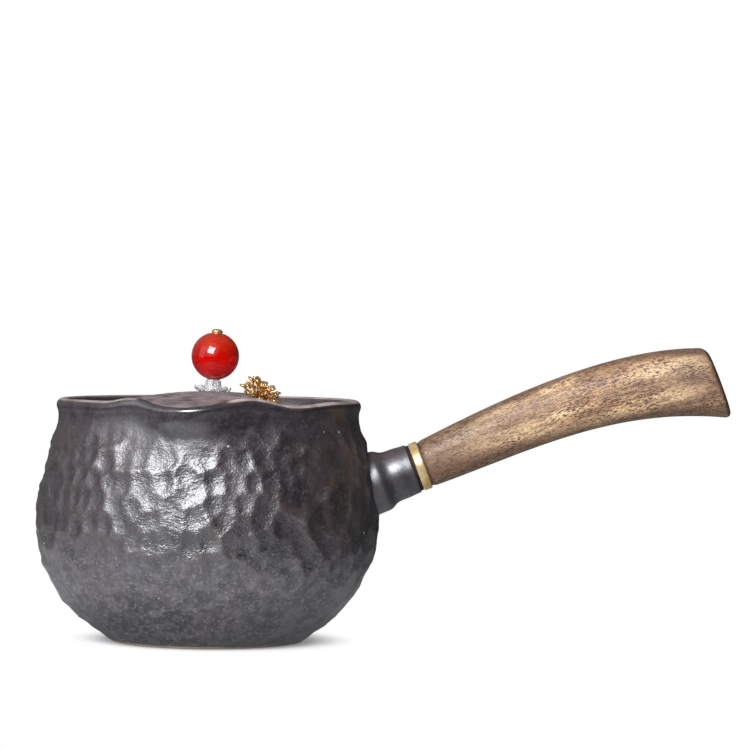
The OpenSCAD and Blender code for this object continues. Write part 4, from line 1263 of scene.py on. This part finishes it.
def flower_tier(name, node, hub_r, root_z, **petals):
    """A low hub with a tier of narrow petals that stand on it."""
    low = root_z - HUB_UNDER
    edge = hub_r - HUB_EDGE
    hub_rows = [
        [HUB_BORE, low], [edge, low], [hub_r, low + HUB_EDGE],
        [hub_r, low + HUB_SIDE], [edge, low + HUB_H], [HUB_BORE, low + HUB_H],
    ]
    flower_piece(name, node, hub_rows, HUB_UNSHADED, petal_tier(root_z=root_z, **NARROW_PETAL, **petals))


sepals = petal_tier(count=5, first_turn=TURN / 10, length=3.2, rise=14, sweep=10, **SEPAL)
flower_piece("flower_sepals", "flower_calyx", CALYX_ROWS, CALYX_UNSHADED, sepals)
flower_tier("flower_outer", "flower_outer_petals", hub_r=2.4, root_z=1.3, count=12, first_turn=0.0,
            root_r=2.1, length=4.7, rise=34, sweep=0)
flower_tier("flower_middle", "flower_middle_petals", hub_r=2.0, root_z=1.9, count=10, first_turn=TURN / 20,
            root_r=1.7, length=5.4, rise=54, sweep=-4)
flower_tier("flower_inner", "flower_inner_petals", hub_r=1.6, root_z=2.5, count=8, first_turn=TURN / 8,
            root_r=1.3, length=4.7, rise=72, sweep=-6)

# %% Stamens
STAMEN_COUNT, STAMEN_R, STAMEN_H, STAMEN_TIP = 7, 0.24, 2.6, 0.42
STAMEN_MIDDLE, STAMEN_NECK = 1.2, 0.4
TIP_FROM, TIP_TO, TIP_STEPS = -50, 86, 9
STAMEN_LEAN, STAMEN_ROOT, STAMEN_AROUND = math.radians(14), 0.35, 14
BUTTON_R, BUTTON_Z, TUFT_UNSHADED = 1.0, 2.8, 0.5


def stamen(lean, turn, root):
    """A pin with a round head: a profile turned about its own leaning axis."""
    head = arc((0, STAMEN_H), STAMEN_TIP, TIP_FROM, TIP_TO, TIP_STEPS)
    pin = [[STAMEN_R, 0.0], [STAMEN_R, STAMEN_MIDDLE], [STAMEN_R, STAMEN_H - STAMEN_NECK]]
    rows = np.vstack([pin, head])
    ct, st, cl, sl = math.cos(turn), math.sin(turn), math.cos(lean), math.sin(lean)
    out = np.array([ct, st, 0])
    axes = np.array([out * cl - np.array([0, 0, sl]), [-st, ct, 0], out * sl + np.array([0, 0, cl])])
    foot = out * root + np.array([0, 0, BUTTON_Z + STAMEN_ROOT])
    return shell(on_flower(placed(turned(rows, STAMEN_AROUND), foot, axes)))


button_rows = np.array([
    [0.2, BUTTON_Z], [0.95, BUTTON_Z], [BUTTON_R, BUTTON_Z + 0.15],
    [0.92, BUTTON_Z + 0.5], [0.5, BUTTON_Z + 0.7],
])
button = shell(on_flower(turned(button_rows, HUB_AROUND)))
stamen_turns = [i * TURN / (STAMEN_COUNT - 1) for i in range(STAMEN_COUNT - 1)]
pins = [stamen(0.0, 0.0, 0.0)]
pins += [stamen(STAMEN_LEAN, turn, BUTTON_R - 2 * STAMEN_R) for turn in stamen_turns]
stamens = add_piece("flower_tuft", together([button, *pins]), GILT, "lid", "flower_stamens")
mark_all(stamens, "unshaded", TUFT_UNSHADED)

# %% [markdown]
# Brass ferrule and the dark ring
#
# A pale brass ring closes the end of the wooden grip, with a thin dark ring between it and the pot. Both
# are turned on a lathe, so their fine marks run round: the finish reads streaks from a mark that runs
# along the ring, and the edges are rounded in the profile.

# %% Brass


def brass():
    """Brushed brass: fine streaks round the ring from the mark of turning, and slightly darker clouds."""
    material, tree, shader = new_finish("brass", Metallic=0.62)
    place = place_on(tree)
    lathe = read_mark(tree, "lathe", "Vector")
    cloudy = effect(tree, CLOUD, place, Scale=320.0, Low=0.35, High=0.68)
    colour = mixed(tree, cloudy, rgb(224, 186, 122), rgb(252, 230, 182))
    lines = effect(tree, STREAK, lathe, Along=0.5, Across=9.0, Low=0.3, High=0.7)
    colour = masked(tree, colour, lines, 0.3, rgb(178, 136, 76))
    rough = ranged(tree, lines, 0.0, 1.0, 0.22, 0.36)
    feed(tree, shader, Base_Color=colour, Roughness=rough, Normal=bumped(tree, lines, 0.25, 0.05))
    return material


BRASS = brass()


def rubber(name, dark, pale):
    """Matt moulded rubber: two tones in clouds and a fine grain."""
    material, tree, shader = new_finish(name, IOR=1.45)
    place = place_on(tree)
    cloudy = effect(tree, CLOUD, place, Scale=500.0, Low=0.3, High=0.7)
    grain = effect(tree, PEEL, place, Scale=1800.0, Finer=0.5)
    colour = mixed(tree, cloudy, dark, pale)
    rough = ranged(tree, cloudy, 0.0, 1.0, 0.55, 0.72)
    feed(tree, shader, Base_Color=colour, Roughness=rough, Normal=bumped(tree, grain, 0.3, 0.08))
    return material


BLACK_RUBBER = rubber("black_rubber", rgb(24, 21, 20), rgb(40, 35, 33))
SILICONE = rubber("silicone", rgb(210, 209, 204), rgb(228, 227, 222))
print("finishes", BRASS.name, BLACK_RUBBER.name, SILICONE.name)

# %% Ferrule and dark ring
FERRULE_Z, FERRULE_W, FERRULE_R, SPIGOT_R = 11.7, 2.7, 7.25, 5.3
FERRULE_ROUND, FERRULE_STEPS, FERRULE_FLAT, FERRULE_CROWN = 0.45, 6, 0.9, 0.02
GASKET_R, GASKET_EDGE, GASKET_BEVEL, STUD_R = 7.0, 6.7, 0.2, 2.55
RING_AROUND, LATHE_ROUND, LATHE_FLAT = 128, 4, 18


def on_handle(points):
    """Points of the handle's own frame, tilted with its socket, carried to its place on the pot."""
    return placed(points, HANDLE_O, HANDLE_AXES)


def handle_ring(name, rows, finish, node):
    """A closed ring about the handle's axis, with the mark that runs round it for lathe streaks."""
    rows = np.array(rows)
    skin = shell(on_handle(turned(rows, RING_AROUND)), joined=True)
    piece = add_piece(name, skin, finish, "pot", node)
    a = circle(RING_AROUND)
    across = rows[:, 0] + rows[:, 1]
    along = LATHE_ROUND * np.cos(a)
    flat = LATHE_ROUND * np.sin(a) / LATHE_FLAT
    lathe = np.stack(np.broadcast_arrays(along, across[:, None], flat), axis=-1)
    mark(piece, "lathe", lathe.reshape(-1, 3))


ferrule_end = FERRULE_Z + FERRULE_W
ferrule_edge = FERRULE_R - FERRULE_ROUND
ferrule_rows = np.vstack([
    [[SPIGOT_R, ferrule_end], [SPIGOT_R, FERRULE_Z]],
    arc((ferrule_edge, FERRULE_Z + FERRULE_ROUND), FERRULE_ROUND, -90, 0, FERRULE_STEPS),
    [[FERRULE_R + FERRULE_CROWN, FERRULE_Z + FERRULE_FLAT]],
    [[FERRULE_R + FERRULE_CROWN, ferrule_end - FERRULE_FLAT]],
    arc((ferrule_edge, ferrule_end - FERRULE_ROUND), FERRULE_ROUND, 0, 90, FERRULE_STEPS),
])
handle_ring("ferrule", ferrule_rows, BRASS, "handle_ferrule")
gasket_rows = [
    [STUD_R, FERRULE_Z], [STUD_R, SOCKET_LEN], [GASKET_EDGE, SOCKET_LEN],
    [GASKET_R, SOCKET_LEN + GASKET_BEVEL], [GASKET_R, FERRULE_Z - GASKET_BEVEL], [GASKET_EDGE, FERRULE_Z],
]
handle_ring("dark_ring", gasket_rows, BLACK_RUBBER, "handle_gasket")

# %% [markdown]
# Walnut grip
#
# The grip is one piece of oiled walnut that widens, droops and ends in a cut face with a soft edge. A
# block with bevels and bends would take many modifiers; a section carried between two curves, the
# crown above and the palm below, gives the shape at once. It was cut from a straight board, so its
# grain hardly follows the droop: each point keeps its place along, above and beside a line that bends
# only a little, and the finish reads that. Shade is painted darker along its crown and palm edges, and
# the wood is darker at its ends and where it is cut across.

# %% Walnut


def walnut():
    """Tan to brown streaks along the mark of grain, golden bands, dark pores, painted shade along the
    edges, and darker ends and cut end.
    """
    material, tree, shader = new_finish("walnut", IOR=1.48)
    grain = read_mark(tree, "grain", "Vector")
    cut = read_mark(tree, "cut")
    broad = effect(tree, STREAK, grain, Along=0.025, Across=0.15, Low=0.4, High=0.58)
    colour = mixed(tree, broad, rgb(164, 125, 95), rgb(250, 212, 164))
    figure = effect(tree, STREAK, grain, Along=0.1, Across=0.42, Low=0.46, High=0.66)
    colour = masked(tree, colour, figure, 0.7, rgb(112, 84, 71))
    fibre = effect(tree, STREAK, grain, Along=0.4, Across=2.2, Low=0.42, High=0.60)
    colour = masked(tree, colour, fibre, 0.45, rgb(226, 188, 140))
    # Painted shade: darker along the crown and palm edges, with the darker ends in the same mark.
    edge = read_mark(tree, "edge")
    colour = masked(tree, colour, edge, 0.8, rgb(96, 70, 57))
    dense = effect(tree, STREAK, grain, Along=0.07, Across=0.22, Low=0.36, High=0.6)
    flecks = effect(tree, STREAK, grain, Along=0.6, Across=2.6, Low=0.5, High=0.63)
    share = maths(tree, "MULTIPLY", flecks, ranged(tree, dense, 0.0, 1.0, 0.4, 0.95))
    colour = mixed(tree, share, colour, rgb(98, 68, 52))
    pores = effect(tree, STREAK, grain, Along=1.1, Across=4.6, Low=0.53, High=0.6)
    share = maths(tree, "MULTIPLY", pores, ranged(tree, dense, 0.0, 1.0, 0.65, 1.0))
    colour = mixed(tree, share, colour, rgb(64, 42, 34))
    colour = masked(tree, colour, cut, 0.95, rgb(60, 32, 23))
    rough = ranged(tree, fibre, 0.0, 1.0, 0.38, 0.5)
    relief = maths(tree, "SUBTRACT", maths(tree, "MULTIPLY", fibre, 0.3), pores)
    feed(tree, shader, Base_Color=colour, Roughness=rough, Normal=bumped(tree, relief, 0.35, 0.12))
    return material


WALNUT = walnut()
print("finish", WALNUT.name)

# %% Grip
GRIP_Z, GRIP_LEN, TIP_ROUND, FRONT_R, TIP_HALF_W = 14.4, 89.6, 2.0, 6.9, 8.8
ROUNDNESS = 2.25
LEAD_AT, CROWN_AT, PALM_AT = 0.32, 0.7, 0.632
CROWN_LEAD, CROWN_PULL, TIP_TOP = 10.4, 13.2, 3.2
PALM_LEAD, PALM_PULL, TIP_BOTTOM = -7.4, -3.2, -18.8
GRIP_ROWS, TIP_ROWS, GRIP_AROUND = 130, 12, 112
FRONT_EDGE, FRONT_ROWS = 0.35, 2
TIP_CLOSING = np.array([0.72, 0.4, 0.12])
GRAIN_BEND = 0.3


def rounded(value):
    """A sine or cosine raised to a power with its sign kept, for a section between circle and square."""
    return np.sign(value) * np.abs(value) ** (2 / ROUNDNESS)


def grip_spine():
    """Middle and half depth between the crown and palm curves, and half width, ring by ring. At the tip
    each ring draws in on a quarter circle, and three more rings close the cut face."""
    crown_end = (TIP_TOP - CROWN_PULL) / (GRIP_LEN * (1 - CROWN_AT))
    palm_end = (TIP_BOTTOM - PALM_PULL) / (GRIP_LEN * (1 - PALM_AT))
    body = GRIP_LEN - TIP_ROUND
    crown = [(0, FRONT_R), (GRIP_LEN * LEAD_AT, CROWN_LEAD), (GRIP_LEN * CROWN_AT, CROWN_PULL),
             (body, TIP_TOP - crown_end * TIP_ROUND)]
    palm = [(0, -FRONT_R), (GRIP_LEN * LEAD_AT, PALM_LEAD), (GRIP_LEN * PALM_AT, PALM_PULL),
            (body, TIP_BOTTOM - palm_end * TIP_ROUND)]
    t = np.linspace(0, 1, GRIP_ROWS)
    high, low = bezier(crown, t), bezier(palm, t)
    middle, half = (high + low) / 2, (high - low) / 2
    wide = FRONT_R + (TIP_HALF_W - FRONT_R) * ramp(t, 0, 1)
    drawn = FRONT_EDGE * (1 - ramp(np.arange(GRIP_ROWS), 0, FRONT_ROWS))
    turn = np.radians(np.linspace(0, 90, TIP_ROWS + 1)[1:])
    way = np.array([1, (crown_end + palm_end) / 2])
    middle = np.vstack([middle, middle[-1] + TIP_ROUND * np.sin(turn)[:, None] * way])
    half = np.vstack([half, np.repeat(half[-1:], TIP_ROWS, axis=0)])
    drawn = np.append(drawn, TIP_ROUND * (1 - np.cos(turn)))
    wide = np.append(wide, np.full(TIP_ROWS, TIP_HALF_W)) - drawn
    shrink = 1 - drawn / np.linalg.norm(half, axis=1)
    middle = np.vstack([middle, np.repeat(middle[-1:], len(TIP_CLOSING), axis=0)])
    half = np.vstack([half * shrink[:, None], half[-1] * shrink[-1] * TIP_CLOSING[:, None]])
    return middle, half, np.append(wide, wide[-1] * TIP_CLOSING)


def grip_rings():
    """Rings of a rounded section about the spine, and each point's place in the grain."""
    middle, half, wide = grip_spine()
    a = circle(GRIP_AROUND)
    flat = middle[:, None, :] + half[:, None, :] * rounded(np.cos(a))[None, :, None]
    side = wide[:, None] * rounded(np.sin(a))[None, :]
    across = flat[..., 1] - GRAIN_BEND * middle[:, 1:]
    grain = np.stack([np.broadcast_to(middle[:, :1], side.shape), across, side], axis=-1)
    return np.stack([flat[..., 1], side, flat[..., 0] + GRIP_Z], axis=-1), grain


grip_local, grip_grain = grip_rings()
grip = add_piece("grip", shell(on_handle(grip_local)), WALNUT, "pot", "handle_grip")
pole_grain = grip_grain[[0, -1], 0] * [1, 0, 0]
mark(grip, "grain", np.vstack([grip_grain.reshape(-1, 3), pole_grain]))

# %% Dark ends of the grip, and painted shade on its edges
CUT_ROWS = 7
TOP_SHADE, TOP_FROM, PALM_FROM = 0.8, 0.65, 0.35
ENDS_DARK, ENDS_MIDDLE, ENDS_SPREAD = 0.95, 0.6, 0.6
front_cut = ramp(np.arange(GRIP_ROWS), FRONT_ROWS, 0)
tip_cut = ramp(np.arange(TIP_ROWS), 0, CUT_ROWS)
cut = np.concatenate([front_cut, tip_cut, np.ones(len(TIP_CLOSING))])
mark(grip, "cut", np.append(np.repeat(cut, GRIP_AROUND), [1, 1]))
# Painted shade along the crown and palm edges; the wood is also darker towards both ends.
above = np.cos(circle(GRIP_AROUND))
edge = (TOP_SHADE * ramp(above, TOP_FROM, 1.0) + ramp(-above, PALM_FROM, 1.0))[None, :]
ends = ENDS_DARK * (1 - bump((grip_grain[..., 0] / GRIP_LEN - ENDS_MIDDLE) / ENDS_SPREAD))
mark(grip, "edge", np.append(np.clip(edge + ends, 0, 1).ravel(), POLES))
print("grip dark on", round(100 * float((cut > 0).mean())), "% of its rings")

# %% [markdown]
# Hidden fixings
#
# Under the lid and inside the handle sit the fixings that nobody sees at rest: gasket, washers and nuts,
# the cork sleeve and the steel stud. Their solids already have the right shape, so they stay as they
# are and only get proper finishes.

# %% Finishes of the hidden fixings


def cork():
    """Bonded cork: tan grains of two sizes with dark gaps between them."""
    material, tree, shader = new_finish("cork", IOR=1.45)
    place = place_on(tree)
    cells = add(tree, "TexVoronoi", {"Vector": place, "Scale": 900.0})
    cloudy = effect(tree, CLOUD, place, Scale=400.0, Low=0.35, High=0.65)
    colour = mixed(tree, cloudy, rgb(150, 108, 70), rgb(190, 146, 100))
    gap = ranged(tree, cells.outputs["Distance"], 0.35, 0.6)
    colour = masked(tree, colour, gap, 0.6, rgb(90, 58, 36))
    rough = ranged(tree, gap, 0.0, 1.0, 0.75, 0.92)
    normal = bumped(tree, cells.outputs["Distance"], 0.4, 0.15)
    feed(tree, shader, Base_Color=colour, Roughness=rough, Normal=normal)
    return material


FIXING_BRASS = turned_metal("fixing_brass", rgb(190, 156, 88), rgb(222, 190, 124))
CORK = cork()
fixings = {
    "knob_gasket": SILICONE, "knob_washer": FIXING_BRASS, "knob_nut": FIXING_BRASS,
    "flower_washer": FIXING_BRASS, "flower_nut": FIXING_BRASS,
    "socket_sleeve": CORK, "handle_stud": STEEL,
}
for node, finish in fixings.items():
    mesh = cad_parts[node].data
    mesh.materials.clear()
    mesh.materials.append(finish)
print("finished", len(fixings), "hidden fixings")
